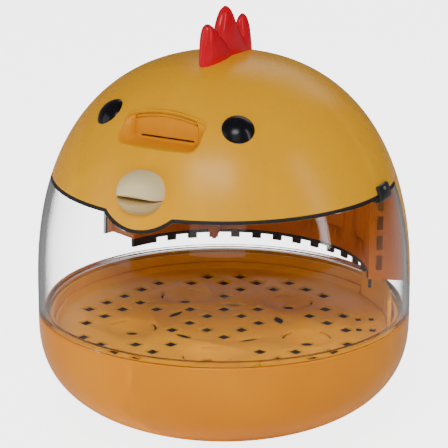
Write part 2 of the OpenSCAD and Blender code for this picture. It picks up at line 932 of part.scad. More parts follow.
module duct_panel(from, to) {
    mid = (from + to) / 2;
    width = (to - from) * PI / 180 * duct_inner_r;
    at_skin(mid, duct_inner_r - 12, (panel_low_z + panel_high_z) / 2)
        rotate([90, 0, 90])
            linear_extrude(24)
                rounded_rectangle(width, panel_high_z - panel_low_z, 4);
}

// The duct's inner wall, floor and end walls, cut from one solid ring.
module rear_duct() {
    end_wall_angle = 1.6;
    slot_first_z = housing_z + 4.8;
    slot_depth = 8;
    recess = 0.8;
    color(duct_brown)
        difference() {
            intersection() {
                band(housing_z, dome_z + duct_above, duct_outer_inset, housing_depth + 10);
                rear_sector(duct_half, housing_z - 1, dome_z + 2);
            }
            translate([0, 0, housing_z - 1])
                cylinder(r = duct_inner_r, h = crown_z);
            intersection() {
                rotate_extrude()
                    translate([duct_inner_r + duct_wall, housing_z + duct_wall])
                        square([housing_depth, crown_z]);
                rear_sector(duct_half - end_wall_angle, housing_z, crown_z);
            }
            for (i = [0:slot_count - 1], side = [-1, 1])
                rotate([0, 0, -side * duct_half])
                    translate([-side * slot_depth / 2 - slot_depth / 2, duct_inner_r + duct_wall + 1.6,
                        slot_first_z + i * slot_step])
                        cube([slot_depth, slot_w, slot_h]);
            for (span = duct_panels)
                intersection() {
                    duct_panel(span[0], span[1]);
                    difference() {
                        cylinder(r = duct_inner_r + recess, h = crown_z);
                        translate([0, 0, -1])
                            cylinder(r = duct_inner_r - 3, h = crown_z + 2);
                    }
                }
        }
}

// A toothed black strip that hangs under the inner housing's edge.
grille_t = 1.5;
grille_h = 1.8;
tooth_h = 2.6;
tooth_step = 9;
notch_w = 6.6;

module air_grille() {
    low = housing_z - grille_h - tooth_h;
    color(black)
        difference() {
            intersection() {
                translate([0, 0, low])
                    rotate_extrude()
                        translate([duct_inner_r, 0])
                            square([grille_t, grille_h + tooth_h]);
                rear_sector(duct_half, low, housing_z);
            }
            for (turn = [tooth_step / 2 - duct_half + 4:tooth_step:duct_half - 6])
                at_skin(180 + turn, duct_inner_r - 1, low - 1)
                    translate([0, -notch_w / 2, 0])
                        cube([grille_t + 2, notch_w, tooth_h + 1]);
        }
}

sensor_angle = 213;

module sensor_tip() {
    color([0.5, 0.28, 0.08])
        at_skin(sensor_angle, duct_inner_r - 3.2, housing_z - 4)
            union() {
                cylinder(r1 = 1, r2 = 3, h = 4);
                translate([0, 0, 4])
                    cylinder(r = 3, h = 3);
            }
}

lamp_from = 209.5;
lamp_to = 221;

module chamber_lamp() {
    color([0.95, 0.95, 0.93])
        rotate([0, 0, lamp_from - 90])
            translate([0, 0, housing_z + 3.4])
                rotate_extrude(angle = lamp_to - lamp_from)
                    translate([duct_inner_r - 1, 0])
                        square([0.95, 5]);
}

// ---- Control panel and power socket ----

standoff_place = [panel_w / 2 - 3, panel_h / 2 - 2.6];
board_t = 1.6;
board_y = panel_face_y - plate_t - 3.6 - board_t;
button_z = panel_z - panel_h / 2 + 5;
button_step = 12;
flange_t = 1.2;
display = [24, 9.5];
display_z = panel_z + panel_h / 2 - 7;

module at_standoffs(y) {
    for (sx = [-1, 1], sz = [-1, 1])
        translate([sx * standoff_place.x, y, panel_z + sz * standoff_place.y])
            rotate([-90, 0, 0])
                children();
}

module panel_bezel() {
    color(black)
        difference() {
            union() {
                intersection() {
                    panel_block(bezel_wall, panel_face_y - plate_t, body_r + 5);
                    slice(housing_z, housing_top_z, 0);
                }
                at_standoffs(board_y + board_t)
                    cylinder(r = 2, h = panel_face_y - plate_t - board_y - board_t + 0.5);
            }
            panel_block(0, panel_face_y, body_r + 10);
            for (i = [-1:1])
                translate([i * button_step, panel_face_y - plate_t - 1, button_z])
                    rotate([-90, 0, 0])
                        cylinder(r = button_r + gap, h = plate_t + 2);
            translate([-display.x / 2 - 0.1, panel_face_y - 1.2, display_z - display.y / 2 - 0.1])
                cube([display.x + 0.2, 4, display.y + 0.2]);
            at_standoffs(board_y)
                cylinder(r = 0.9, h = plate_t + 4);
        }
}

module display_lens() {
    color([0.12, 0.02, 0.03])
        translate([-display.x / 2, panel_face_y - 1.2, display_z - display.y / 2])
            cube([display.x, 1.5, display.y]);
}

// One button, turned in one piece: a flange behind the plate, a stem and a chamfered cap.
module button(i) {
    cap = 1.4;
    chamfer = 0.4;
    flange_r = button_r + 0.9;
    length = flange_t + gap + plate_t + cap;
    color([0.93, 0.93, 0.92])
        translate([i * button_step, 0, button_z])
            rotate([-90, 0, 0])
                translate([0, 0, panel_face_y + cap - length])
                    rotate_extrude()
                        polygon([[0, 0], [flange_r, 0], [flange_r, flange_t], [button_r, flange_t],
                            [button_r, length - chamfer], [button_r - chamfer, length], [0, length]]);
}

module button_minus() { button(-1); }
module button_set() { button(0); }
module button_plus() { button(1); }

module control_board() {
    color([0.05, 0.35, 0.16])
        difference() {
            translate([-panel_w / 2, board_y, panel_z - panel_h / 2])
                cube([panel_w, board_t, panel_h]);
            at_standoffs(board_y - 1)
                cylinder(r = 1.1, h = board_t + 2);
        }
}

module board_switches() {
    switch_gap = 0.3;
    top = panel_face_y - plate_t - gap - flange_t - button_travel - switch_gap;
    color([0.15, 0.15, 0.16])
        for (i = [-1:1])
            translate([i * button_step, board_y + board_t, button_z])
                rotate([-90, 0, 0])
                    cylinder(r = 1.7, h = top - board_y - board_t);
}

module board_screws() {
    color(steel)
        at_standoffs(board_y)
            screw(0.85, 4.6, 1.8, 1.1);
}

module power_socket() {
    bore_depth = 9;
    color(black)
        at_socket()
            difference() {
                union() {
                    translate([0, 0, -11])
                        cylinder(r = socket_out_r, h = 11.6);
                    translate([0, 0, 0.1])
                        cylinder(r = socket_flange_r, h = 0.7);
                }
                translate([0, 0, 0.8 - bore_depth])
                    cylinder(r = socket_r, h = bore_depth + 1);
            }
}

module socket_pin() {
    color(steel)
        at_socket()
            translate([0, 0, -8.2])
                cylinder(r = socket_pin_r, h = 7.4);
}

base_shell();
foot_ring();
base_screws();
base_liner();
air_baffle();
egg_tray();
window();
window_seal();
dome_shell();
comb();
eye_left();
eye_right();
beak_upper();
beak_lower();
catch_left();
catch_right();
catch_pin_left();
catch_pin_right();
ceiling_plate();
ceiling_screws();
fan_frame();
fan_shaft();
fan_rotor();
heater_ring();
heater_clips();
rear_cover();
rear_duct();
air_grille();
sensor_tip();
chamber_lamp();
panel_bezel();
display_lens();
button_minus();
button_set();
button_plus();
control_board();
board_switches();
board_screws();
power_socket();
socket_pin();
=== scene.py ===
"""Looks of a chick-shaped egg incubator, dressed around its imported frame.

Metres, with +Z up; the chick looks along -Y.
"""

import logging
import math
from dataclasses import dataclass, field, replace
from enum import Enum
from typing import Callable, Iterable, Sequence

import bmesh
import bpy
from mathutils import Matrix, Vector


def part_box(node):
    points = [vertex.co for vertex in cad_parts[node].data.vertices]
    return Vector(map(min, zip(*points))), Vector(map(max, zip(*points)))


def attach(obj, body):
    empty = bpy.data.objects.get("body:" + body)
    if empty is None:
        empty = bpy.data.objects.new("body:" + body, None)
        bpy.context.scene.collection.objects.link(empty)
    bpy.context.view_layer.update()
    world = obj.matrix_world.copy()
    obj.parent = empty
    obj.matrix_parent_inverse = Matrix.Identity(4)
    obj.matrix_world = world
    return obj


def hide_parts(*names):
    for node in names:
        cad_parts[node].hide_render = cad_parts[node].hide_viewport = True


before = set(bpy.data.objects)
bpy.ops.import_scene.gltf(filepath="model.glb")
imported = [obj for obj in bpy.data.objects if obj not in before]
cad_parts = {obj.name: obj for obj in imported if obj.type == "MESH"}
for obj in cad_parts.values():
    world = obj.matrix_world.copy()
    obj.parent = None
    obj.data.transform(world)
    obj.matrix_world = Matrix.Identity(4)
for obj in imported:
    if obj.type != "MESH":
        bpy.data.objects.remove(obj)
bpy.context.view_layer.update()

MM = 0.001
TAU = math.tau
WELD = 1e-6
LOG = logging.getLogger("incubator")

Colour = tuple[float, float, float]
Corner = tuple[float, float, float]


class Body(Enum):
    """Bodies that the pieces ride on."""

    BASE = "base"
    LID = "lid"
    TRAY = "egg_tray"
    FAN = "fan"


class Slot(Enum):
    """Material slots of the record."""

    BASE = "base_yellow"
    DOME = "dome_yellow"
    CLEAR = "clear_window"
    RUBBER = "black_rubber"
    COMB = "comb_red"
    EYE = "eye_black"
    BEAK = "beak_cream"
    CATCH = "catch_black"
    STEEL = "screw_steel"
    DUCT = "duct_brown"
    FAN = "fan_black"
    HEATER = "heater_enamel"
    CERAMIC = "clip_ceramic"
    LAMP = "lamp_white"
    PANEL = "panel_black"
    DISPLAY = "display_lens"
    BUTTON = "button_white"
    BOARD = "board_green"


# ---------------------------------------------------------------- sizes read from the frame


@dataclass(frozen=True)
class BodyOutline:
    """Side outline of the round body: a bowl, a short straight waist and a crown."""

    radius: float
    foot: float
    rim: float
    dome: float
    crown: float
    housing: float
    wall: float = 2.6 * MM
    window_wall: float = 2.6 * MM
    bowl_power: float = 2.65
    crown_power: float = 2.35
    lip: float = 2.5 * MM
    straight: float = 10.5 * MM

    @classmethod
    def from_frame(cls) -> "BodyOutline":
        """Reads the driving heights from the CAD nodes' boxes.

        Returns:
            The outline that every shell of the body follows.
        """
        low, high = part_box("base_shell")
        return cls(
            radius=high.x,
            foot=low.z,
            rim=high.z,
            dome=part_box("window_seal")[1].z,
            crown=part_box("dome_shell")[1].z,
            housing=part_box("rear_cover")[0].z,
        )

    @property
    def low_waist(self) -> float:
        """Height where the bowl starts to curve in."""
        return self.rim - self.lip

    @property
    def high_waist(self) -> float:
        """Height where the crown starts to curve in."""
        return self.rim + self.straight

    def skin_radius(self, z: float, inset: float = 0.0) -> float:
        """Radius of the skin at a height.

        Args:
            z: Height above the table.
            inset: How far inside the skin the face lies.

        Returns:
            The radius of that face.
        """
        r = self.radius - inset
        if z < self.low_waist:
            depth = self.low_waist - self.foot - inset
            return r * max(0.0, 1 - ((self.low_waist - z) / depth) ** self.bowl_power) ** (1 / self.bowl_power)
        if z > self.high_waist:
            rise = self.crown - self.high_waist - inset
            return r * max(0.0, 1 - ((z - self.high_waist) / rise) ** self.crown_power) ** (1 / self.crown_power)
        return r

    def bowl_arc(self, inset: float, steps: int) -> list[Corner]:
        """Outline points of the bowl from its waist down to the axis."""
        r, depth = self.radius - inset, self.low_waist - self.foot - inset
        turns = [math.pi / 2 * i / steps for i in range(steps + 1)]
        power = 2 / self.bowl_power
        return [
            (r * max(0.0, math.cos(t)) ** power, self.low_waist - depth * math.sin(t) ** power, 0.0)
            for t in turns
        ]

    def crown_arc(self, z: float, inset: float, steps: int) -> list[Corner]:
        """Outline points of the crown from a height up to the axis."""
        r, rise = self.radius - inset, self.crown - self.high_waist - inset
        start = math.asin(((z - self.high_waist) / rise) ** (self.crown_power / 2))
        turns = [start + (math.pi / 2 - start) * i / steps for i in range(steps + 1)]
        power = 2 / self.crown_power
        return [
            (r * max(0.0, math.cos(t)) ** power, self.high_waist + rise * math.sin(t) ** power, 0.0)
            for t in turns
        ]

    def band(self, low: float, high: float, inset: float, steps: int) -> list[Corner]:
        """Outline points of the upper body between two heights."""
        heights = [low + (high - low) * i / steps for i in range(steps + 1)]
        return [(self.skin_radius(z, inset), z, 0.0) for z in heights]

    def skin_frame(self, angle: float, z: float) -> Matrix:
        """A frame on the skin with Z along the skin's outward direction and Y level.

        Args:
            angle: Degrees from the front towards +X.
            z: Height above the table.

        Returns:
            The matrix that carries a piece drawn at the origin onto the skin.
        """
        r, rise = self.skin_radius(z), self.crown - self.high_waist
        outward = (r / self.radius) ** (self.crown_power - 1) / self.radius
        upward = ((z - self.high_waist) / rise) ** (self.crown_power - 1) / rise
        tilt = math.pi / 2 - math.atan2(upward, outward)
        turn = Matrix.Rotation(math.radians(angle) - math.pi / 2, 4, "Z")
        return turn @ Matrix.Translation((r, 0, z)) @ Matrix.Rotation(tilt, 4, "Y")


# ---------------------------------------------------------------- mesh work


def fillet_outline(corners: Sequence[Corner], steps: int = 4) -> list[tuple[float, float]]:
    """Rounds the corners of a closed outline.

    Args:
        corners: Points as (radius, height, rounding radius).
        steps: Stretches in each rounding.

    Returns:
        Points as (radius, height).
    """
    points: list[tuple[float, float]] = []
    for i, (r, z, rounding) in enumerate(corners):
        here = Vector((r, z))
        if rounding <= 0:
            points.append((r, z))
            continue
        before = Vector(corners[i - 1][:2]) - here
        after = Vector(corners[(i + 1) % len(corners)][:2]) - here
        half = before.angle(after) / 2
        reach = min(rounding / math.tan(half), before.length * 0.49, after.length * 0.49)
        start, end = here + before.normalized() * reach, here + after.normalized() * reach
        for k in range(steps + 1):
            t = k / steps
            point = start * (1 - t) ** 2 + here * 2 * t * (1 - t) + end * t**2
            points.append((point.x, point.y))
    return points


def spin_outline(corners: Sequence[Corner], segments: int = 144, start: float = 0.0) -> bmesh.types.BMesh:
    """Turns a closed outline around Z.

    Args:
        corners: Outline corners as (radius, height, rounding radius).
        segments: Stretches around the axis.
        start: Degrees from +X where it begins.

    Returns:
        A closed bmesh.
    """
    bm = bmesh.new()
    points = fillet_outline(corners)
    verts = [bm.verts.new((r, 0.0, z)) for r, z in points]
    edges = [bm.edges.new((verts[i - 1], verts[i])) for i in range(len(verts))]
    bmesh.ops.spin(
        bm, geom=[*verts, *edges], cent=(0, 0, 0), axis=(0, 0, 1), angle=math.radians(360.0), steps=segments,
        use_merge=True,
    )
    bmesh.ops.remove_doubles(bm, verts=bm.verts, dist=WELD)
    loose = [e for e in bm.edges if not e.link_faces]
    bmesh.ops.delete(bm, geom=loose, context="EDGES")
    bmesh.ops.rotate(bm, verts=bm.verts, cent=(0, 0, 0), matrix=Matrix.Rotation(math.radians(start), 3, "Z"))
    bmesh.ops.recalc_face_normals(bm, faces=bm.faces)
    return bm


def box_mesh(size: Vector, place: Vector, rounding: float = 0.0) -> bmesh.types.BMesh:
    """A box with rounded edges, centred on a place."""
    bm = bmesh.new()
    bmesh.ops.create_cube(bm, size=1.0)
    bmesh.ops.scale(bm, vec=size, verts=bm.verts)
    if rounding > 0:
        bmesh.ops.bevel(
            bm, geom=list(bm.edges), offset=rounding, offset_type="OFFSET", segments=3, profile=0.5,
            affect="EDGES",
            material=-1,
        )
    bmesh.ops.translate(bm, vec=place, verts=bm.verts)
    return bm


def prism_mesh(outline: Sequence[tuple[float, float]], near: float, far: float) -> bmesh.types.BMesh:
    """A prism along Y with an outline in X and Z.

    Args:
        outline: Points as (x, z).
        near: Lower Y of the prism.
        far: Upper Y of the prism.

    Returns:
        A closed bmesh.
    """
    bm = bmesh.new()
    verts = [bm.verts.new((x, near, z)) for x, z in outline]
    face = bm.faces.new(verts)
    grown = bmesh.ops.extrude_face_region(bm, geom=[face])
    moved = [v for v in grown["geom"] if isinstance(v, bmesh.types.BMVert)]
    bmesh.ops.translate(bm, vec=(0, far - near, 0), verts=moved)
    bmesh.ops.recalc_face_normals(bm, faces=bm.faces)
    return bm


def loft_rings(rings: Sequence[Sequence[Vector]], cap_first: bool, cap_last: bool) -> bmesh.types.BMesh:
    """Joins closed rings with the same number of points into one skin.

    Args:
        rings: The rings, in order.
        cap_first: Whether the first ring is closed with a face.
        cap_last: Whether the last ring is closed with a face.

    Returns:
        The skin as a bmesh.
    """
    bm = bmesh.new()
    loops = []
    for ring in rings:
        verts = [bm.verts.new(point) for point in ring]
        loops.append([bm.edges.new((verts[i - 1], verts[i])) for i in range(len(verts))])
    for first, second in zip(loops, loops[1:]):
        bmesh.ops.bridge_loops(bm, edges=[*first, *second])
    for wanted, loop in ((cap_first, loops[0]), (cap_last, loops[-1])):
        if wanted:
            bmesh.ops.contextual_create(bm, geom=loop)
    bmesh.ops.recalc_face_normals(bm, faces=bm.faces)
    return bm


def move_mesh(bm: bmesh.types.BMesh, matrix: Matrix) -> bmesh.types.BMesh:
    """Carries a bmesh to a place and keeps its faces pointing outwards."""
    bmesh.ops.transform(bm, matrix=matrix, verts=bm.verts)
    return bm


def make_object(bm: bmesh.types.BMesh, name: str, sharp: float = 32.0) -> bpy.types.Object:
    """Turns a bmesh into an object that is smooth up to an edge angle."""
    mesh = bpy.data.meshes.new(name)
    bm.to_mesh(mesh)
    bm.free()
    mesh.shade_smooth()
    mesh.set_sharp_from_angle(angle=math.radians(sharp))
    piece = bpy.data.objects.new(name, mesh)
    bpy.context.scene.collection.objects.link(piece)
    return piece


def settle(piece: bpy.types.Object, sharp: float | None = None) -> bpy.types.Object:
    """Applies a piece's modifiers to its mesh."""
    bpy.context.view_layer.update()
    done = piece.evaluated_get(bpy.context.evaluated_depsgraph_get())
    mesh = bpy.data.meshes.new_from_object(done)
    piece.modifiers.clear()
    piece.data = mesh
    if sharp is not None:
        mesh.shade_smooth()
        mesh.set_sharp_from_angle(angle=math.radians(sharp))
    return piece


class Cut(Enum):
    """Ways that one solid changes another."""

    TAKE = "DIFFERENCE"
    ADD = "UNION"


def carve(piece: bpy.types.Object, tool: bmesh.types.BMesh, how: Cut = Cut.TAKE, sharp: float = 32.0) -> None:
    """Cuts a tool out of a piece, or joins it to the piece.

    Args:
        piece: The object whose mesh changes.
        tool: A closed bmesh, used up by the cut.
        how: What the cut keeps.
        sharp: Edge angle above which the result isn't smooth.
    """
    cutter = make_object(tool, "cutter")
    step = piece.modifiers.new("cut", "BOOLEAN")
    step.operation = how.value
    step.solver = "EXACT"
    step.object = cutter
    settle(piece, sharp)
    bpy.data.objects.remove(cutter)


def soften(piece: bpy.types.Object, width: float, angle: float = 40.0, segments: int = 2) -> None:
    """Rounds a piece's sharp edges."""
    step = piece.modifiers.new("edges", "BEVEL")
    step.width = width
    step.segments = segments
    step.limit_method = "ANGLE"
    step.angle_limit = math.radians(angle)
    step.use_clamp_overlap = True
    step.harden_normals = False
    settle(piece, 32.0)


def refine(node: str, name: str, edge: float = 0.0, sharp: float = 30.0) -> bpy.types.Object:
    """A clean copy of a CAD node's mesh, with welded corners and rounded edges.

    Args:
        node: The CAD node.
        name: The new piece's name.
        edge: Width of the rounding on its edges.
        sharp: Edge angle above which it isn't smooth.

    Returns:
        The new piece.
    """
    bm = bmesh.new()
    bm.from_mesh(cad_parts[node].data)
    bmesh.ops.remove_doubles(bm, verts=bm.verts, dist=WELD)
    bmesh.ops.dissolve_limit(
        bm, angle_limit=math.radians(0.5), verts=bm.verts, edges=bm.edges, use_dissolve_boundaries=False,
    )
    piece = make_object(bm, name, sharp)
    if edge > 0:
        soften(piece, edge)
    return piece


# ---------------------------------------------------------------- finishes


class Wiring:
    """Adds, sets and links the nodes of a shader tree."""

    def __init__(self, tree: bpy.types.NodeTree) -> None:
        """Empties the tree that it fills."""
        self.tree = tree
        self.tree.nodes.clear()
        self.column = 0

    def add(self, kind: str, **inputs: object) -> bpy.types.Node:
        """Adds a node and sets its inputs.

        Args:
            kind: Blender's node type.
            **inputs: Attributes of the node, or its sockets by name with underscores for spaces.

        Returns:
            The new node.
        """
        node = self.tree.nodes.new(kind)
        node.location = (self.column * 200, 0)
        self.column += 1
        for key, value in inputs.items():
            socket = node.inputs.get(key.replace("_", " "))
            if socket is None:
                setattr(node, key, value)
            else:
                self.feed(socket, value)
        return node

    def feed(self, socket: bpy.types.NodeSocket, value: object) -> None:
        """Links a socket to another, or sets its value."""
        if isinstance(value, bpy.types.NodeSocket):
            self.tree.links.new(value, socket)
        else:
            socket.default_value = value

    def maths(self, operation: str, first: bpy.types.NodeSocket, second: object) -> bpy.types.NodeSocket:
        """The result of a sum on two values."""
        node = self.add("ShaderNodeMath", operation=operation)
        self.feed(node.inputs[0], first)
        self.feed(node.inputs[1], second)
        return node.outputs[0]

    def spread(
        self, value: bpy.types.NodeSocket, low: float, high: float, to_low: float = 0.0, to_high: float = 1.0,
        **more: object,
    ) -> bpy.types.NodeSocket:
        """Maps one range of values onto another."""
        node = self.add(
            "ShaderNodeMapRange", Value=value, From_Min=low, From_Max=high, To_Min=to_low, To_Max=to_high,
            **more,
        )
        return node.outputs["Result"]

    def noise(self, scale: object, detail: float, **more: float) -> bpy.types.NodeSocket:
        """A noise that stays with the piece."""
        place = self.add("ShaderNodeTexCoord").outputs["Object"]
        return self.add("ShaderNodeTexNoise", Vector=place, Scale=scale, Detail=detail, **more).outputs["Fac"]

    def mix(self, mask: bpy.types.NodeSocket, first: object, second: object) -> bpy.types.NodeSocket:
        """Mixes two colours by a mask."""
        node = self.add("ShaderNodeMix", data_type="RGBA")
        self.feed(node.inputs["Factor"], mask)
        for label, value in (("A", first), ("B", second)):
            socket = next(s for s in node.inputs if s.name == label and s.type == "RGBA")
            self.feed(socket, value if isinstance(value, bpy.types.NodeSocket) else (*value, 1.0))
        return next(s for s in node.outputs if s.type == "RGBA")

    def choose(
        self, mask: bpy.types.NodeSocket, first: bpy.types.Node, second: bpy.types.Node,
    ) -> bpy.types.Node:
        """Mixes two shaders by a mask."""
        node = self.add("ShaderNodeMixShader")
        for socket, value in zip(node.inputs, (mask, first.outputs[0], second.outputs[0])):
            self.feed(socket, value)
        return node

    def effect(self, tree: bpy.types.NodeTree, **values: float) -> bpy.types.bpy_prop_collection:
        """Places a shared effect with its own values and hands back its outputs."""
        return self.add("ShaderNodeGroup", node_tree=tree, **values).outputs

    def surface(self, shader: bpy.types.Node, kind: str = "ShaderNodeOutputMaterial") -> None:
        """Puts a shader out as the surface."""
        self.add(kind, Surface=shader.outputs[0])

    def put_out(self, values: dict[str, bpy.types.NodeSocket]) -> None:
        """Puts values out of a group."""
        node = self.add("NodeGroupOutput")
        for label, value in values.items():
            self.feed(node.inputs[label], value)


def new_material(name: str) -> tuple[bpy.types.Material, Wiring]:
    """A new material and the wiring that fills it."""
    material = bpy.data.materials.new(name)
    material.use_nodes = True
    return material, Wiring(material.node_tree)


def new_group(name: str, inputs: dict[str, float], outputs: dict[str, str]) -> bpy.types.NodeTree:
    """A shader node group with named sockets.

    Args:
        name: The group's name.
        inputs: Float inputs with their usual values.
        outputs: Output names with their socket types.

    Returns:
        The empty group.
    """
    group = bpy.data.node_groups.new(name, "ShaderNodeTree")
    for label, value in inputs.items():
        socket = group.interface.new_socket(name=label, in_out="INPUT", socket_type="NodeSocketFloat")
        socket.default_value = value
    for label, kind in outputs.items():
        group.interface.new_socket(name=label, in_out="OUTPUT", socket_type=kind)
    return group


class Effects:
    """Shader node groups that several finishes share."""

    _made: dict[str, bpy.types.NodeTree] = {}

    @classmethod
    def get(cls, name: str, make: Callable[[], bpy.types.NodeTree]) -> bpy.types.NodeTree:
        """Builds a group once and hands out the same one afterwards."""
        if name not in cls._made:
            cls._made[name] = make()
        return cls._made[name]

    @classmethod
    def moulding(cls) -> bpy.types.NodeTree:
        """Fine moulded grain, slow mottling, handling smudges and settled dust."""
        return cls.get("moulded skin", cls._make_moulding)

    @classmethod
    def edges(cls) -> bpy.types.NodeTree:
        """Softened edges as a normal, and a mask of where they are."""
        return cls.get("soft edges", cls._make_edges)

    @staticmethod
    def _make_moulding() -> bpy.types.NodeTree:
        """Lays out the moulded skin."""
        group = new_group(
            "moulded skin",
            {"Grain Scale": 900.0, "Mottle Scale": 22.0, "Smudge Scale": 60.0},
            dict.fromkeys(("Height", "Mottle", "Smudge", "Dust"), "NodeSocketFloat"),
        )
        w = Wiring(group)
        given = w.add("NodeGroupInput").outputs
        grain = w.noise(given["Grain Scale"], 3.0, Roughness=0.6)
        wave = w.noise(given["Mottle Scale"], 1.0)
        blotches = w.noise(given["Smudge Scale"], 6.0, Distortion=0.8)
        specks = w.noise(420.0, 4.0, Roughness=0.75)
        normal = w.add("ShaderNodeNewGeometry").outputs["Normal"]
        up = w.add("ShaderNodeSeparateXYZ", Vector=normal).outputs["Z"]
        w.put_out({
            "Height": w.maths("ADD", w.maths("MULTIPLY", grain, 0.12), wave),
            "Mottle": w.spread(wave, 0.35, 0.65),
            "Smudge": w.spread(blotches, 0.52, 0.72),
            "Dust": w.maths("MULTIPLY", w.spread(up, 0.55, 1.0), w.spread(specks, 0.56, 0.74)),
        })
        return group

    @staticmethod
    def _make_edges() -> bpy.types.NodeTree:
        """Lays out the soft edges."""
        group = new_group(
            "soft edges", {"Radius": 0.4 * MM}, {"Normal": "NodeSocketVector", "Edge": "NodeSocketFloat"},
        )
        w = Wiring(group)
        given = w.add("NodeGroupInput").outputs
        rounded = w.add("ShaderNodeBevel", samples=4, Radius=given["Radius"]).outputs["Normal"]
        dot = w.add("ShaderNodeVectorMath", operation="DOT_PRODUCT")
        w.feed(dot.inputs[0], rounded)
        w.feed(dot.inputs[1], w.add("ShaderNodeNewGeometry").outputs["Normal"])
        w.put_out({"Normal": rounded, "Edge": w.spread(dot.outputs["Value"], 0.995, 0.8)})
        return group


DUST: Colour = (0.8, 0.78, 0.74)
GLOW_REACH = (0.004, 0.002, 0.0006)
# Painted shade under the tray: how fast it fades in, and how dark it is as a share of the deep colour.
PAINTED_SHADE_FADE = 1.5 * MM
PAINTED_SHADE_SHARE = 0.06


@dataclass(frozen=True)
class Moulded:
    """A moulded plastic or rubber finish.

    Attributes:
        name: The material's name.
        colour: Its colour where it is clean and flat.
        deep: Its colour in the mottling's darker parts.
        rim: Its colour along edges, where the light comes through.
        roughness: Roughness where it is clean.
        smudged: Added roughness under smudges and dust.
        grain: Depth of the moulded grain, in metres.
        grain_scale: Grains to the metre.
        mottle_scale: Mottles to the metre.
        edge: Radius of its edges, in metres.
        coat: Weight of the polished top layer.
        gloss: Strength of its own reflections.
        glow: Share of light that spreads inside it.
        dust: Share of dust on its upward faces.
        painted_shade_below: Height below which it darkens to a painted shade, standing for the shadow under the
            tray.
    """

    name: str
    colour: Colour
    deep: Colour
    rim: Colour
    roughness: float = 0.28
    smudged: float = 0.08
    grain: float = 0.012 * MM
    grain_scale: float = 900.0
    mottle_scale: float = 24.0
    edge: float = 0.4 * MM
    coat: float = 0.12
    gloss: float = 0.4
    glow: float = 0.0
    dust: float = 0.02
    painted_shade_below: float | None = None

    def build(self) -> bpy.types.Material:
        """Builds the material.

        Returns:
            The material, ready to be put on a piece.
        """
        material, w = new_material(self.name)
        material.diffuse_color = (*self.colour, 1.0)
        skin = w.effect(Effects.moulding(), Grain_Scale=self.grain_scale, Mottle_Scale=self.mottle_scale)
        soft = w.effect(Effects.edges(), Radius=self.edge)
        colour = w.mix(skin["Mottle"], self.colour, self.deep)
        # Painted highlight: edges turn to the rim colour, standing for light that comes through them.
        colour = w.mix(soft["Edge"], colour, self.rim)
        # Painted shade: the colour darkens below a height, standing for the shadow under the tray.
        if self.painted_shade_below is not None:
            place = w.add("ShaderNodeSeparateXYZ", Vector=w.add("ShaderNodeTexCoord").outputs["Object"])
            below = w.spread(place.outputs["Z"], self.painted_shade_below, self.painted_shade_below - PAINTED_SHADE_FADE)
            colour = w.mix(below, colour, tuple(c * PAINTED_SHADE_SHARE for c in self.deep))
        colour = w.mix(w.maths("MULTIPLY", skin["Dust"], self.dust), colour, DUST)
        wear = w.maths("MAXIMUM", skin["Smudge"], skin["Dust"])
        bump = w.add(
            "ShaderNodeBump", Strength=1.0, Distance=self.grain, Height=skin["Height"], Normal=soft["Normal"],
        )
        w.surface(w.add(
            "ShaderNodeBsdfPrincipled",
            Base_Color=colour,
            Roughness=w.spread(wear, 0.0, 1.0, self.roughness, self.roughness + self.smudged),
            Normal=bump.outputs["Normal"],
            Specular_IOR_Level=self.gloss,
            Coat_Weight=self.coat,
            Coat_Roughness=0.12,
            Subsurface_Weight=self.glow,
            Subsurface_Radius=GLOW_REACH,
            Subsurface_Scale=1.0,
        ))
        return material


@dataclass(frozen=True)
class ClearPlastic:
    """Clear polished plastic that lets the lamps through.

    Attributes:
        name: The material's name.
        tint: Colour of the plastic.
        roughness: Its roughness.
        ior: Its index of refraction.
        shine: How strongly its faces reflect, 0.5 for the index alone.
        edge: Colour of the painted shade that it darkens to where it is seen edge on.
        shade: Colour of the light that passes to what is behind it.
    """

    name: str
    tint: Colour
    roughness: float = 0.01
    ior: float = 1.36
    shine: float = 0.3
    edge: Colour = (0.02, 0.02, 0.02)
    shade: Colour = (0.96, 0.965, 0.97)

    def build(self) -> bpy.types.Material:
        """Builds the material."""
        material, w = new_material(self.name)
        smear = w.noise(70.0, 5.0, Distortion=1.2)
        bump = w.add("ShaderNodeBump", Strength=1.0, Distance=0.02 * MM, Height=w.noise(14.0, 0.0))
        # Painted shade: the colour darkens where the window is seen edge on.
        facing = w.add("ShaderNodeLayerWeight", Blend=0.5).outputs["Facing"]
        painted_edge_shade = w.spread(facing, 0.66, 0.9, interpolation_type="SMOOTHSTEP")
        glass = w.add(
            "ShaderNodeBsdfPrincipled",
            Base_Color=w.mix(painted_edge_shade, self.tint, self.edge),
            Roughness=w.spread(smear, 0.55, 0.8, self.roughness, self.roughness + 0.03),
            Normal=bump.outputs["Normal"],
            Transmission_Weight=1.0,
            IOR=self.ior,
            Specular_IOR_Level=self.shine,
        )
        through = w.add("ShaderNodeBsdfTransparent", Color=(*self.shade, 1.0))
        w.surface(w.choose(w.add("ShaderNodeLightPath").outputs["Is Shadow Ray"], glass, through))
        return material


@dataclass(frozen=True)
class Metal:
    """A plated metal finish with fine turning marks."""

    name: str
    colour: Colour
    roughness: float = 0.28

    def build(self) -> bpy.types.Material:
        """Builds the material."""
        material, w = new_material(self.name)
        stains = w.noise(180.0, 4.0)
        bump = w.add("ShaderNodeBump", Strength=0.6, Distance=0.01 * MM, Height=w.noise(2200.0, 2.0))
        w.surface(w.add(
            "ShaderNodeBsdfPrincipled",
            Base_Color=w.mix(stains, self.colour, tuple(c * 0.7 for c in self.colour)),
            Metallic=1.0,
            Roughness=w.spread(stains, 0.0, 1.0, self.roughness, self.roughness + 0.25),
            Normal=bump.outputs["Normal"],
        ))
        return material


BLACK = (0.008, 0.008, 0.009)
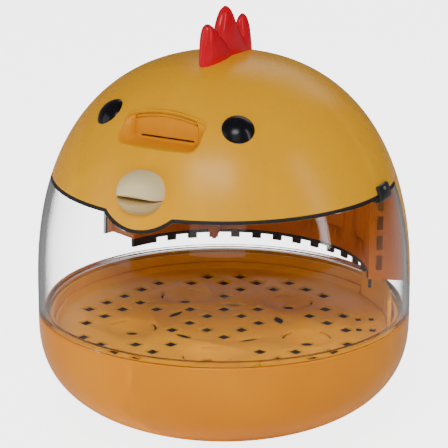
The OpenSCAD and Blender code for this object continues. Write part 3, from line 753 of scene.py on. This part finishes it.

# The third colour of each moulded finish is its painted edge highlight.
FINISHES: dict[Slot, Moulded | ClearPlastic | Metal] = {
    Slot.BASE: Moulded(
        "base yellow", (1.0, 0.34, 0.0), (0.97, 0.31, 0.0), (1.0, 0.44, 0.005), 0.2, coat=0.0, gloss=0.22,
    ),
    Slot.DOME: Moulded(
        "dome yellow", (1.0, 0.46, 0.0), (0.98, 0.43, 0.0), (1.0, 0.55, 0.01), 0.27, coat=0.0, gloss=0.24,
    ),
    Slot.CLEAR: ClearPlastic("clear window", (0.985, 0.99, 0.995)),
    Slot.RUBBER: Moulded(
        "black rubber", BLACK, (0.012, 0.012, 0.012), (0.03, 0.03, 0.03), 0.55, 0.15, coat=0.0, dust=0.06,
    ),
    Slot.COMB: Moulded(
        "comb red", (0.80, 0.0, 0.022), (0.68, 0.0, 0.015), (0.9, 0.005, 0.03), 0.2, coat=0.0, gloss=0.25,
    ),
    Slot.EYE: Moulded(
        "eye black", (0.004, 0.004, 0.006), (0.005, 0.005, 0.008), (0.01, 0.01, 0.014), 0.2, 0.05,
        coat=0.0, gloss=0.3,
    ),
    Slot.BEAK: Moulded(
        "beak cream", (0.92, 0.76, 0.42), (0.88, 0.71, 0.37), (0.95, 0.84, 0.55), 0.34,
        coat=0.0, gloss=0.3, glow=0.05,
    ),
    Slot.CATCH: Moulded("catch black", BLACK, (0.014, 0.013, 0.012), (0.04, 0.04, 0.04), 0.25),
    Slot.STEEL: Metal("screw steel", (0.62, 0.62, 0.64)),
    Slot.DUCT: Moulded(
        "duct amber", (0.62, 0.17, 0.0), (0.46, 0.11, 0.0), (0.8, 0.3, 0.01), 0.3, coat=0.0, gloss=0.15,
    ),
    Slot.FAN: Moulded("fan black", (0.018, 0.018, 0.019), BLACK, (0.05, 0.05, 0.05), 0.42, coat=0.0),
    Slot.HEATER: Moulded("heater enamel", (0.28, 0.12, 0.06), (0.2, 0.08, 0.04), (0.4, 0.2, 0.1), 0.35),
    Slot.CERAMIC: Moulded("ceramic", (0.78, 0.77, 0.72), (0.7, 0.69, 0.63), (0.85, 0.84, 0.8), 0.6, coat=0.0),
    Slot.LAMP: Moulded("lamp white", (0.92, 0.92, 0.9), (0.88, 0.88, 0.86), (0.95, 0.95, 0.94), 0.3, glow=0.2),
    Slot.PANEL: Moulded("panel black", (0.012, 0.012, 0.013), BLACK, (0.05, 0.05, 0.05), 0.3, grain=0.03 * MM),
    Slot.DISPLAY: Moulded(
        "display lens", (0.03, 0.002, 0.003), (0.02, 0.001, 0.002), (0.08, 0.01, 0.01), 0.06, coat=1.0,
    ),
    Slot.BUTTON: Moulded(
        "button white", (0.84, 0.84, 0.82), (0.79, 0.79, 0.76), (0.9, 0.9, 0.88), 0.4, coat=0.1,
    ),
    Slot.BOARD: Moulded("board green", (0.012, 0.16, 0.05), (0.008, 0.11, 0.035), (0.1, 0.3, 0.15), 0.35),
}


TRAY_FINISH = Moulded(
    "tray yellow", (1.0, 0.43, 0.0), (0.97, 0.39, 0.0), (1.0, 0.52, 0.01), 0.34, coat=0.0, gloss=0.2,
)
# The scoop's pocket is the dome's plastic in a darker, redder painted shade, standing for the shade inside the
# recess; it is also rougher and less glossy.
SCOOP_SHADED_FINISH = replace(
    FINISHES[Slot.DOME], name="scoop painted shade", roughness=0.3, gloss=0.12,
    colour=(0.93, 0.36, 0.0), deep=(0.89, 0.33, 0.0), rim=(0.97, 0.46, 0.0),
)
# The lower beak is its own tan, darkened further by a painted shade standing for the shadow under the upper
# beak.
LOWER_BEAK_TAN_AND_SHADE_FINISH = replace(
    FINISHES[Slot.BEAK], name="lower beak tan and painted shade",
    colour=(0.66, 0.47, 0.2), deep=(0.58, 0.4, 0.16), rim=(0.74, 0.56, 0.3),
)
# The liner darkens to a painted shade below the tray, standing for the shadow there.
LINER_FINISH = replace(TRAY_FINISH, name="liner yellow", painted_shade_below=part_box("egg_tray")[0].z + 2.4 * MM)


class FinishBook:
    """Builds each finish once and puts it on pieces."""

    def __init__(self) -> None:
        """Starts with nothing built."""
        self._built: dict[str, bpy.types.Material] = {}

    def material(self, finish: Moulded | ClearPlastic | Metal) -> bpy.types.Material:
        """The material of a finish, built on first use."""
        if finish.name not in self._built:
            self._built[finish.name] = finish.build()
        return self._built[finish.name]

    def dress(
        self, piece: bpy.types.Object, slot: Slot, body: Body, replaces: Iterable[str] = (),
        finish: Moulded | None = None,
    ) -> bpy.types.Object:
        """Puts a finish on a new piece, sets its body, and hides the CAD nodes that it stands for.

        Args:
            piece: The new piece.
            slot: Its finish.
            body: The body that it rides on.
            replaces: CAD nodes that it stands for.
            finish: A finish of its own in place of the slot's.

        Returns:
            The piece.
        """
        piece.data.materials.clear()
        piece.data.materials.append(self.material(finish or FINISHES[slot]))
        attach(piece, body.value)
        nodes = tuple(replaces)
        if nodes:
            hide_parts(*nodes)
        LOG.info("%s: %d faces on %s, %s", piece.name, len(piece.data.polygons), body.value, slot.value)
        return piece

    def dress_node(self, node: str, slot: Slot) -> None:
        """Puts a finish on a CAD node that stays as it is."""
        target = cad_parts[node]
        target.data.materials.clear()
        target.data.materials.append(self.material(FINISHES[slot]))
        LOG.info("%s: kept, %s", node, slot.value)

    def dress_copy(
        self, node: str, slot: Slot, body: Body, edge: float = 0.0, finish: Moulded | None = None,
    ) -> bpy.types.Object:
        """Stands a clean, edge-rounded copy in for a CAD node."""
        return self.dress(refine(node, f"{node}_moulding", edge), slot, body, [node], finish)


# ---------------------------------------------------------------- sub-assemblies


@dataclass
class Base:
    """The bowl with its liner, baffle, foot ring and screws."""

    outline: BodyOutline
    book: FinishBook
    rim_round: float = 0.9 * MM
    head_radius: float = 3.0 * MM
    groove_width: float = 6.1 * MM

    def build(self) -> None:
        """Builds and dresses every piece of the base."""
        self._shell()
        self.book.dress_copy("base_liner", Slot.BASE, Body.BASE, 0.3 * MM, LINER_FINISH)
        self.book.dress_copy("air_baffle", Slot.DOME, Body.BASE, 0.4 * MM)
        self.book.dress_copy("foot_ring", Slot.RUBBER, Body.BASE, 0.3 * MM)
        self.book.dress_copy("base_screws", Slot.STEEL, Body.BASE)

    def _shell(self) -> None:
        """The bowl: a turned wall with a rounded rim, screw bosses and a groove for the foot ring."""
        o = self.outline
        outer = o.bowl_arc(0, 72)
        inner = o.bowl_arc(o.wall, 48)
        rim = [(o.radius - o.wall, o.rim, 0.5 * MM), (o.radius, o.rim, self.rim_round)]
        shell = make_object(spin_outline([*rim, *outer, *reversed(inner)], 192), "bowl_shell")
        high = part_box("base_screws")[1]
        reach = high.x - self.head_radius
        places = [Vector((sx * reach, sy * reach, 0)) for sx in (-1, 1) for sy in (-1, 1)]
        boss_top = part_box("base_liner")[0].z
        for place in places:
            carve(shell, self._round(place, 3.6 * MM, o.foot + o.wall, boss_top), Cut.ADD)
        for place in places:
            carve(shell, self._round(place, 3.3 * MM, -1 * MM, o.foot + 6 * MM))
            carve(shell, self._round(place, 1.55 * MM, o.foot + 5.9 * MM, high.z + 2 * MM))
        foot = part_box("foot_ring")[1]
        outer_r, inner_r = foot.x + 0.1 * MM, foot.x - self.groove_width
        groove = [(outer_r, -1 * MM, 0), (outer_r, foot.z, 0), (inner_r, foot.z, 0), (inner_r, -1 * MM, 0)]
        carve(shell, spin_outline(groove, 96))
        even = shell.modifiers.new("even shading", "WEIGHTED_NORMAL")
        even.keep_sharp = True
        even.weight = 80
        settle(shell)
        self.book.dress(shell, Slot.BASE, Body.BASE, ["base_shell"])

    @staticmethod
    def _round(place: Vector, radius: float, low: float, high: float) -> bmesh.types.BMesh:
        """A round bar standing at a place."""
        bm = bmesh.new()
        bmesh.ops.create_cone(bm, cap_ends=True, segments=32, radius1=radius, radius2=radius, depth=high - low)
        bmesh.ops.translate(bm, vec=(place.x, place.y, (low + high) / 2), verts=bm.verts)
        return bm


@dataclass
class Tray:
    """The lift-out egg tray."""

    book: FinishBook
    edge: float = 0.35 * MM

    def build(self) -> None:
        """Dresses the tray with rounded hole edges."""
        self.book.dress_copy("egg_tray", Slot.BASE, Body.TRAY, self.edge, TRAY_FINISH)


@dataclass
class Window:
    """The clear ring and the black seal above it."""

    outline: BodyOutline
    book: FinishBook
    seal: float = 1.5 * MM
    chin_radius: float = 26 * MM
    chin_drop: float = 6.5 * MM
    housing_half: float = 73.0

    def build(self) -> None:
        """Builds and dresses the window and its seal."""
        o = self.outline
        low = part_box("window")[0].z
        skirt_out, skirt_in = o.radius - o.wall - 0.3 * MM, o.radius - o.wall - 2.6 * MM
        foot = o.rim + 2.5 * MM
        corners: list[Corner] = [
            *o.band(o.rim + 0.4 * MM, o.dome - self.seal, 0, 40),
            *reversed(o.band(foot, o.dome - self.seal, o.window_wall, 40)),
            (skirt_in + 1 * MM, foot, 0.5 * MM),
            (skirt_in, foot - 1 * MM, 0.3 * MM),
            (skirt_in, low, 0.5 * MM),
            (skirt_out, low, 0.5 * MM),
            (skirt_out, o.rim, 0.1 * MM),
            (o.radius - 0.5 * MM, o.rim, 0.1 * MM),
        ]
        ring = make_object(spin_outline(corners, 192), "window_ring")
        carve(ring, chin_bar(o, self.chin_radius + self.seal, self.chin_drop))
        carve(ring, rear_wedge(self.housing_half, o.housing - 0.3 * MM, o.dome + 5 * MM))
        self.book.dress(ring, Slot.CLEAR, Body.LID, ["window"])
        self.book.dress_copy("window_seal", Slot.RUBBER, Body.LID)


def chin_bar(o: BodyOutline, radius: float, drop: float) -> bmesh.types.BMesh:
    """The round bar along -Y that shapes the chin's lower edge."""
    bm = bmesh.new()
    bmesh.ops.create_cone(bm, cap_ends=True, segments=160, radius1=radius, radius2=radius, depth=0.12)
    bmesh.ops.rotate(bm, verts=bm.verts, cent=(0, 0, 0), matrix=Matrix.Rotation(math.pi / 2, 3, "X"))
    bmesh.ops.translate(bm, vec=(0, -0.06, o.dome - drop + 26 * MM), verts=bm.verts)
    return bm


def rear_wedge(half: float, low: float, high: float) -> bmesh.types.BMesh:
    """The part of space behind the axis, within an angle each side of the back."""
    reach = 0.1
    side = reach * math.tan(math.radians(half))
    bm = bmesh.new()
    verts = [bm.verts.new(p) for p in ((0, 0, low), (side, reach, low), (-side, reach, low))]
    face = bm.faces.new(verts)
    grown = bmesh.ops.extrude_face_region(bm, geom=[face])
    moved = [v for v in grown["geom"] if isinstance(v, bmesh.types.BMVert)]
    bmesh.ops.translate(bm, vec=(0, 0, high - low), verts=moved)
    bmesh.ops.recalc_face_normals(bm, faces=bm.faces)
    return bm


@dataclass
class Dome:
    """The coloured dome with its chin, and the round lower edge under the beak."""

    outline: BodyOutline
    book: FinishBook
    chin_radius: float = 26 * MM
    chin_drop: float = 6.5 * MM
    lip: float = 0.7 * MM
    columns: int = 240
    blend_top: float = 150 * MM

    def build(self) -> None:
        """Builds and dresses the dome."""
        o = self.outline
        outer = o.crown_arc(o.dome, 0, 84)
        inner = o.crown_arc(o.dome, o.wall, 44)
        outer[0] = (*outer[0][:2], self.lip)
        inner[0] = (*inner[0][:2], 0.4 * MM)
        bm = spin_outline([*outer, *reversed(inner)], self.columns, start=-90.0)
        for vert in bm.verts:
            self._hang(vert)
        dome = make_object(bm, "dome_moulding", 40.0)
        carve(dome, Scoop(o, self.book).cutter(), Cut.TAKE, 40.0)
        self.book.dress(dome, Slot.DOME, Body.LID, ["dome_shell"])

    def edge_height(self, angle: float) -> float:
        """Height of the dome's lower edge.

        Args:
            angle: Radians from the front.

        Returns:
            The height, lower where the chin hangs.
        """
        o = self.outline
        if math.cos(angle) <= 0:
            return o.dome
        centre = o.dome - self.chin_drop + self.chin_radius
        height = o.dome
        for _ in range(4):
            side = abs(o.skin_radius(height) * math.sin(angle))
            if side >= self.chin_radius:
                return o.dome
            height = min(o.dome, centre - math.sqrt(self.chin_radius**2 - side**2))
        return height

    def _hang(self, vert: bmesh.types.BMVert) -> None:
        """Moves a point of the turned dome so that its lower edge follows the chin."""
        o = self.outline
        radius = math.hypot(vert.co.x, vert.co.y)
        if vert.co.z >= self.blend_top or radius < 1 * MM:
            return
        angle = math.atan2(vert.co.x, -vert.co.y)
        share = (self.blend_top - vert.co.z) / (self.blend_top - o.dome)
        height = vert.co.z + (self.edge_height(angle) - o.dome) * min(1.0, share)
        grown = o.skin_radius(height) / o.skin_radius(vert.co.z)
        vert.co = Vector((vert.co.x * grown, vert.co.y * grown, height))


@dataclass
class Scoop:
    """The forehead scoop: a rounded lip on the skin, tapered walls and a letterbox slot."""

    outline: BodyOutline
    book: FinishBook
    width: float = 41 * MM
    back_width: float = 33 * MM
    height: float = 13.3 * MM
    floor: float = 152 * MM
    arch: float = 60 * MM
    wall: float = 1.6 * MM
    slot: Vector = field(default_factory=lambda: Vector((28 * MM, 8 * MM, 1.0 * MM)))

    @property
    def back(self) -> float:
        """Y of the back wall's face."""
        return 0.8 * MM - self.outline.skin_radius(self.floor + self.height)

    def build(self) -> None:
        """Builds and dresses the scoop's pocket."""
        bm = loft_rings([self._lip(*step) for step in self._lip_steps()] + self._walls(), False, True)
        bm.faces.ensure_lookup_table()
        flat = max(bm.faces, key=lambda f: f.calc_area())
        if flat.normal.y > 0:
            bmesh.ops.reverse_faces(bm, faces=bm.faces)
        pocket = make_object(bm, "scoop_pocket", 50.0)
        step = pocket.modifiers.new("wall", "SOLIDIFY")
        step.thickness, step.offset = self.wall, -1.0
        settle(pocket, 50.0)
        place = Vector((0, self.back, self.floor + 0.9 * MM + self.slot.z / 2))
        carve(pocket, box_mesh(self.slot, place), Cut.TAKE, 50.0)
        # The pocket gets the dome's plastic in a painted shade.
        self.book.dress(pocket, Slot.DOME, Body.LID, (), SCOOP_SHADED_FINISH)

    def cutter(self) -> bmesh.types.BMesh:
        """The opening that the dome's skin has for the pocket."""
        outline = self._rim(self.width, 0.35 * MM)
        return prism_mesh(outline, -0.1, self.back + 1.2 * MM)

    @staticmethod
    def _lip_steps() -> list[tuple[float, float]]:
        """Growth of the outline and height above the skin, from the lip's outside inwards."""
        steps = [(1.0, -0.15), (0.9, 0.0), (0.65, 0.045), (0.4, 0.0), (0.2, -0.12), (0.06, -0.36), (0.0, -0.8)]
        return [(grow * MM, height * MM) for grow, height in steps]

    def _rim(self, width: float, grow: float) -> list[tuple[float, float]]:
        """The scoop's outline in X and Z.

        Args:
            width: Its width.
            grow: How far it is moved outwards.

        Returns:
            Points in order round the outline.
        """
        half = width / 2 + grow
        radius = self.arch + grow
        centre = self.height - self.arch
        side = centre + math.sqrt(radius**2 - half**2)
        top = [(half * (1 - 2 * i / 12), 0.0) for i in range(1, 12)]
        arch = [(x, centre + math.sqrt(radius**2 - x**2), 0.0) for x, _ in top]
        low, high = 4.2 * MM + grow, 5.0 * MM + grow
        corners = [(-half, -grow, low), (half, -grow, low), (half, side, high), *arch, (-half, side, high)]
        return [(x, self.floor + z) for x, z in fillet_outline(corners, 8)]

    def _lip(self, grow: float, height: float) -> list[Vector]:
        """A ring that follows the skin."""
        ring = []
        for x, z in self._rim(self.width, grow):
            radius = self.outline.skin_radius(z) + height
            ring.append(Vector((x, -math.sqrt(radius**2 - x**2), z)))
        return ring

    def _walls(self) -> list[list[Vector]]:
        """Rings from the lip to the back wall, with a rounded inner corner."""
        front = self._lip(0.0, -0.8 * MM)
        rings = []
        for grow, depth in ((0.0, 1.2), (-0.1, 0.55), (-0.4, 0.12), (-1.0, 0.0)):
            rim = self._rim(self.back_width, grow * MM)
            rings.append([Vector((x, self.back - depth * MM, z)) for x, z in rim])
        middle = [a.lerp(b, 0.5) for a, b in zip(front, rings[0])]
        return [middle, *rings]


@dataclass
class Comb:
    """Three flame-shaped lobes that lean into each other.

    A lobe's row is (height, middle along Y, half length, half thickness), all in millimetres.
    """

    book: FinishBook
    lobes: tuple[tuple[tuple[float, float, float, float], ...], ...] = (
        (
            (177.0, -6.0, 15.5, 5.0), (182.0, -8.2, 13.3, 5.0), (186.0, -10.4, 10.8, 4.75),
            (190.5, -12.5, 8.1, 4.3), (193.5, -14.0, 5.9, 3.8), (196.6, -15.2, 3.5, 3.0),
            (198.2, -15.8, 2.1, 2.0), (199.0, -16.0, 1.0, 1.0), (199.3, -16.1, 0.25, 0.25),
        ),
        (
            (177.0, 8.0, 16.0, 4.5), (182.0, 7.0, 14.5, 4.45), (186.0, 5.0, 12.6, 4.35),
            (190.0, 3.0, 10.8, 4.25), (195.0, 1.5, 8.4, 3.95), (198.7, 1.2, 6.4, 3.45),
            (202.0, 1.2, 4.2, 2.6), (203.8, 1.3, 2.3, 1.5), (204.5, 1.3, 1.0, 0.7),
            (204.8, 1.3, 0.25, 0.2),
        ),
        (
            (176.0, 18.4, 7.2, 3.7), (181.0, 18.5, 6.7, 3.6), (185.6, 18.5, 6.0, 3.4),
            (190.3, 18.4, 5.2, 3.0), (193.5, 18.2, 4.4, 2.5), (195.6, 18.1, 3.4, 2.0),
            (197.0, 18.1, 2.1, 1.3), (197.7, 18.1, 1.0, 0.7), (198.0, 18.1, 0.25, 0.2),
        ),
    )
    around: int = 56
    refine: int = 4

    def build(self) -> None:
        """Builds and dresses the comb."""
        meshes = [loft_rings(self._rings(rows), True, True) for rows in self.lobes]
        comb = make_object(meshes[0], "comb_moulding", 60.0)
        for mesh in meshes[1:]:
            carve(comb, mesh, Cut.ADD, 60.0)
        self.book.dress(comb, Slot.COMB, Body.LID, ["comb"])

    def _rings(self, rows: Sequence[tuple[float, float, float, float]]) -> list[list[Vector]]:
        """Rings of one lobe, with smooth steps between its rows."""
        rings = []
        for i in range(len(rows) - 1):
            around_it = [rows[max(0, i - 1)], rows[i], rows[i + 1], rows[min(len(rows) - 1, i + 2)]]
            for k in range(self.refine):
                rings.append(self._ring(*self._between(around_it, k / self.refine)))
        rings.append(self._ring(*rows[-1]))
        return rings

    @staticmethod
    def _between(rows: Sequence[Sequence[float]], t: float) -> tuple[float, ...]:
        """A smooth curve's value between the second and third of four rows."""
        found = []
        for a, b, c, d in zip(*rows):
            bend = 2 * a - 5 * b + 4 * c - d
            twist = 3 * (b - c) + d - a
            found.append(0.5 * (2 * b + (c - a) * t + bend * t * t + twist * t**3))
        return tuple(found)

    def _ring(self, z: float, middle: float, half: float, thick: float) -> list[Vector]:
        """One oval ring."""
        turns = [TAU * i / self.around for i in range(self.around)]
        return [Vector((thick * MM * math.sin(t), (middle + half * math.cos(t)) * MM, z * MM)) for t in turns]


@dataclass
class Face:
    """The domed eyes and the beak's two halves."""

    outline: BodyOutline
    book: FinishBook
    eye_radius: float = 7.6 * MM
    eye_angle: float = 34.9
    eye_height: float = 161 * MM
    eye_proud: float = 3.2 * MM
    beak_base: float = -74 * MM
    beak_depth: float = 12.6 * MM
    beak_step: float = 0.35 * MM
    beak_power: float = 2.5

    def build(self) -> None:
        """Builds and dresses the face."""
        for side, node in ((1, "eye_left"), (-1, "eye_right")):
            self._eye(side, node)
        self._beak("beak_upper", self._half_round(12.4, 131.9, 143.7), 135.8, self.beak_depth)
        lower = self._half_round(11.9, 131.75, 123.6)
        self._beak("beak_lower", lower, 130.0, self.beak_depth - self.beak_step, LOWER_BEAK_TAN_AND_SHADE_FINISH)

    @staticmethod
    def _half_round(half: float, flat: float, tip: float, power: float = 2.25) -> list[Corner]:
        """Corners of a full half-round outline.

        Args:
            half: Half its width, in millimetres.
            flat: Height of its straight edge, in millimetres.
            tip: Height of its far end, in millimetres.
            power: Fullness of the curve; 2 is an ellipse.

        Returns:
            Corners as (x, z, rounding), in millimetres.
        """
        corners = []
        for i in range(33):
            turn = math.pi * i / 32
            side, rise = math.cos(turn), max(0.0, math.sin(turn))
            rounding = 1.2 if i in (0, 32) else 0.0
            x = math.copysign(half * abs(side) ** (2 / power), side)
            corners.append((x, flat + (tip - flat) * rise ** (2 / power), rounding))
        return corners

    def _eye(self, side: int, node: str) -> None:
        """One eye: a glossy cap on a short plug."""
        radius, proud = self.eye_radius, self.eye_proud
        ball = (radius**2 + proud**2) / (2 * proud)
        edge = math.asin(radius / ball)
        turns = [edge * (1 - i / 20) for i in range(21)]
        low = -0.4 * MM
        cap: list[Corner] = [(ball * math.sin(t), low + proud - ball + ball * math.cos(t), 0.0) for t in turns]
        cap[0] = (radius, low, 0.35 * MM)
        bm = spin_outline([(0.0, low - 2.6 * MM, 0.0), (radius, low - 2.6 * MM, 0.0), *cap], 96)
        move_mesh(bm, self.outline.skin_frame(side * self.eye_angle, self.eye_height))
        self.book.dress(make_object(bm, f"{node}_cap", 40.0), Slot.EYE, Body.LID, [node])

    def _beak(
        self, node: str, corners: Sequence[Corner], middle: float, depth: float, finish: Moulded | None = None,
    ) -> None:
        """One half of the beak: a pillow that swells forward from its outline.

        Args:
            node: The CAD node that it stands for.
            corners: Its outline as (x, z, rounding), in millimetres.
            middle: Height of the point that it swells towards, in millimetres.
            depth: How far it swells.
            finish: A finish of its own in place of the slot's.
        """
        rim = fillet_outline([(x * MM, z * MM, r * MM) for x, z, r in corners], 8)
        heart = middle * MM
        rings = []
        steps = 26
        for i in range(steps + 1):
            turn = math.pi / 2 * (i / steps) ** 0.9
            share = max(0.012, math.cos(turn) ** (2 / self.beak_power))
            forward = self.beak_base - depth * math.sin(turn) ** (2 / self.beak_power)
            rings.append([Vector((x * share, forward, heart + (z - heart) * share)) for x, z in rim])
        bm = loft_rings(rings, True, True)
        self.book.dress(make_object(bm, f"{node}_shell", 60.0), Slot.BEAK, Body.LID, [node], finish)


@dataclass
class Catches:
    """The rounded black catches at the dome's sides and their pins."""

    outline: BodyOutline
    book: FinishBook
    angle: float = 93.0
    height: float = 124.7 * MM
    size: Vector = field(default_factory=lambda: Vector((7.6 * MM, 12.5 * MM, 6.2 * MM)))
    proud: float = 1.2 * MM

    def build(self) -> None:
        """Builds and dresses both catches."""
        for side, word in ((1, "left"), (-1, "right")):
            place = Vector((0, 0, self.proud - self.size.z / 2))
            block = box_mesh(self.size, place, 1.1 * MM)
            move_mesh(block, self.outline.skin_frame(side * self.angle, self.height))
            piece = make_object(block, f"catch_{word}_block", 50.0)
            self.book.dress(piece, Slot.CATCH, Body.LID, [f"catch_{word}"])
            self.book.dress_node(f"catch_pin_{word}", Slot.STEEL)


@dataclass
class DressedParts:
    """CAD parts above the window that keep their shape and get welded corners and a finish."""

    book: FinishBook
    parts: tuple[tuple[str, Slot], ...] = ()
    turning: tuple[str, ...] = ("fan_rotor",)

    def build(self) -> None:
        """Dresses every part."""
        for node, slot in self.parts:
            self.book.dress_copy(node, slot, Body.FAN if node in self.turning else Body.LID)


@dataclass
class RearHousing(DressedParts):
    """The rear cover, the inner duct, its toothed strip, and what shows of the climate parts."""

    parts: tuple[tuple[str, Slot], ...] = (
        ("rear_cover", Slot.DOME),
        ("rear_duct", Slot.DUCT),
        ("air_grille", Slot.FAN),
        ("sensor_tip", Slot.DUCT),
        ("chamber_lamp", Slot.LAMP),
    )


@dataclass
class ControlPanel(DressedParts):
    """The panel at the back with its display, buttons, board and power socket."""

    parts: tuple[tuple[str, Slot], ...] = (
        ("panel_bezel", Slot.PANEL),
        ("display_lens", Slot.DISPLAY),
        ("control_board", Slot.BOARD),
        ("board_switches", Slot.FAN),
        ("board_screws", Slot.STEEL),
        ("power_socket", Slot.CATCH),
        ("socket_pin", Slot.STEEL),
    )
    buttons: tuple[str, ...] = ("button_minus", "button_set", "button_plus")

    def build(self) -> None:
        """Dresses the panel's pieces and its buttons."""
        super().build()
        for node in self.buttons:
            self.book.dress_node(node, Slot.BUTTON)


@dataclass
class Ventilation(DressedParts):
    """The ceiling plate, the fan and the heater ring."""

    parts: tuple[tuple[str, Slot], ...] = (
        ("ceiling_plate", Slot.DUCT),
        ("ceiling_screws", Slot.STEEL),
        ("fan_frame", Slot.FAN),
        ("fan_shaft", Slot.STEEL),
        ("fan_rotor", Slot.FAN),
        ("heater_ring", Slot.HEATER),
        ("heater_clips", Slot.CERAMIC),
    )


WHITE = (1.0, 1.0, 1.0, 1.0)
FLOOR_WHITE = (0.92, 0.92, 0.92, 1.0)


@dataclass
class Studio:
    """Camera, lights and floor."""

    azimuth: float = 28.7
    elevation: float = 17.7
    distance: float = 1.15
    lens: float = 191.5
    aim: float = 97.9 * MM
    backdrop: float = 4.0
    surround: float = 0.1

    def build(self) -> None:
        """Sets the stage."""
        self._camera()
        self._world()
        self._floor()
        self._lamps()

    def _camera(self) -> None:
        """Places the camera at the usual three-quarter view."""
        data = bpy.data.cameras.new("camera")
        data.lens = self.lens
        data.sensor_width = 36.0
        data.clip_start = 0.01
        camera = bpy.data.objects.new("camera", data)
        bpy.context.scene.collection.objects.link(camera)
        turn, lift = math.radians(self.azimuth), math.radians(self.elevation)
        away = Vector((math.sin(turn) * math.cos(lift), -math.cos(turn) * math.cos(lift), math.sin(lift)))
        place = Vector((0, 0, 90 * MM)) + away * self.distance
        camera.location = place
        camera.rotation_euler = (Vector((0, 0, self.aim)) - place).to_track_quat("-Z", "Y").to_euler()
        bpy.context.scene.camera = camera

    @staticmethod
    def _seen_brightness(w: Wiring, dim: float, bright: float) -> bpy.types.NodeSocket:
        """Brightness of the backdrop: bright where it is seen, even through the window, and dim as a light.

        Args:
            w: The material's or world's wiring.
            dim: Brightness as a light.
            bright: Brightness as a backdrop.

        Returns:
            The socket that carries it.
        """
        path = w.add("ShaderNodeLightPath").outputs
        bounces = w.maths("ADD", path["Diffuse Depth"], path["Glossy Depth"])
        return w.spread(bounces, 0.0, 1.0, bright, dim)

    def _world(self) -> None:
        """A soft white surround."""
        world = bpy.data.worlds.new("studio")
        world.use_nodes = True
        w = Wiring(world.node_tree)
        strength = self._seen_brightness(w, self.surround, self.backdrop)
        w.surface(w.add("ShaderNodeBackground", Color=WHITE, Strength=strength), "ShaderNodeOutputWorld")
        bpy.context.scene.world = world

    def _floor(self) -> None:
        """A plain pale floor that can be looked through from below."""
        bm = bmesh.new()
        bmesh.ops.create_grid(bm, x_segments=2, y_segments=2, size=6.0)
        floor = make_object(bm, "floor")
        material, w = new_material("floor white")
        pale = w.add(
            "ShaderNodeBsdfPrincipled", Base_Color=FLOOR_WHITE, Roughness=0.6, Emission_Color=WHITE,
            Emission_Strength=self._seen_brightness(w, 0.0, self.backdrop),
        )
        back = w.add("ShaderNodeNewGeometry").outputs["Backfacing"]
        w.surface(w.choose(back, pale, w.add("ShaderNodeBsdfTransparent")))
        floor.data.materials.append(material)

    @staticmethod
    def _lamps() -> None:
        """Softboxes above, to the right and to the left."""
        lamps = (
            ("key", (0.31, -0.92, 1.09), 0.6, 0.45, 9.5),
            ("side_strip", (1.05, 0.05, 0.55), 0.12, 0.9, 2.6),
            ("left_fill", (-1.0, -0.9, 0.4), 1.0, 0.8, 2.8),
            ("front_fill", (0.6, -1.3, 0.5), 0.9, 0.5, 1.4),
            ("back", (-0.2, 1.0, 0.8), 0.9, 0.5, 1.6),
        )
        for name, place, width, height, power in lamps:
            data = bpy.data.lights.new(name, "AREA")
            data.shape = "RECTANGLE"
            data.size, data.size_y, data.energy = width, height, power
            lamp = bpy.data.objects.new(name, data)
            lamp.location = place
            lamp.rotation_euler = (Vector((0, 0, 0.09)) - Vector(place)).to_track_quat("-Z", "Y").to_euler()
            bpy.context.scene.collection.objects.link(lamp)


def main() -> None:
    """Builds the looks in order."""
    logging.basicConfig(level=logging.INFO, format="%(name)s %(message)s")
    outline = BodyOutline.from_frame()
    book = FinishBook()
    Studio().build()
    Base(outline, book).build()
    Tray(book).build()
    Window(outline, book).build()
    Dome(outline, book).build()
    Scoop(outline, book).build()
    Comb(book).build()
    Face(outline, book).build()
    Catches(outline, book).build()
    RearHousing(book).build()
    ControlPanel(book).build()
    Ventilation(book).build()


if __name__ == "__main__":
    main()
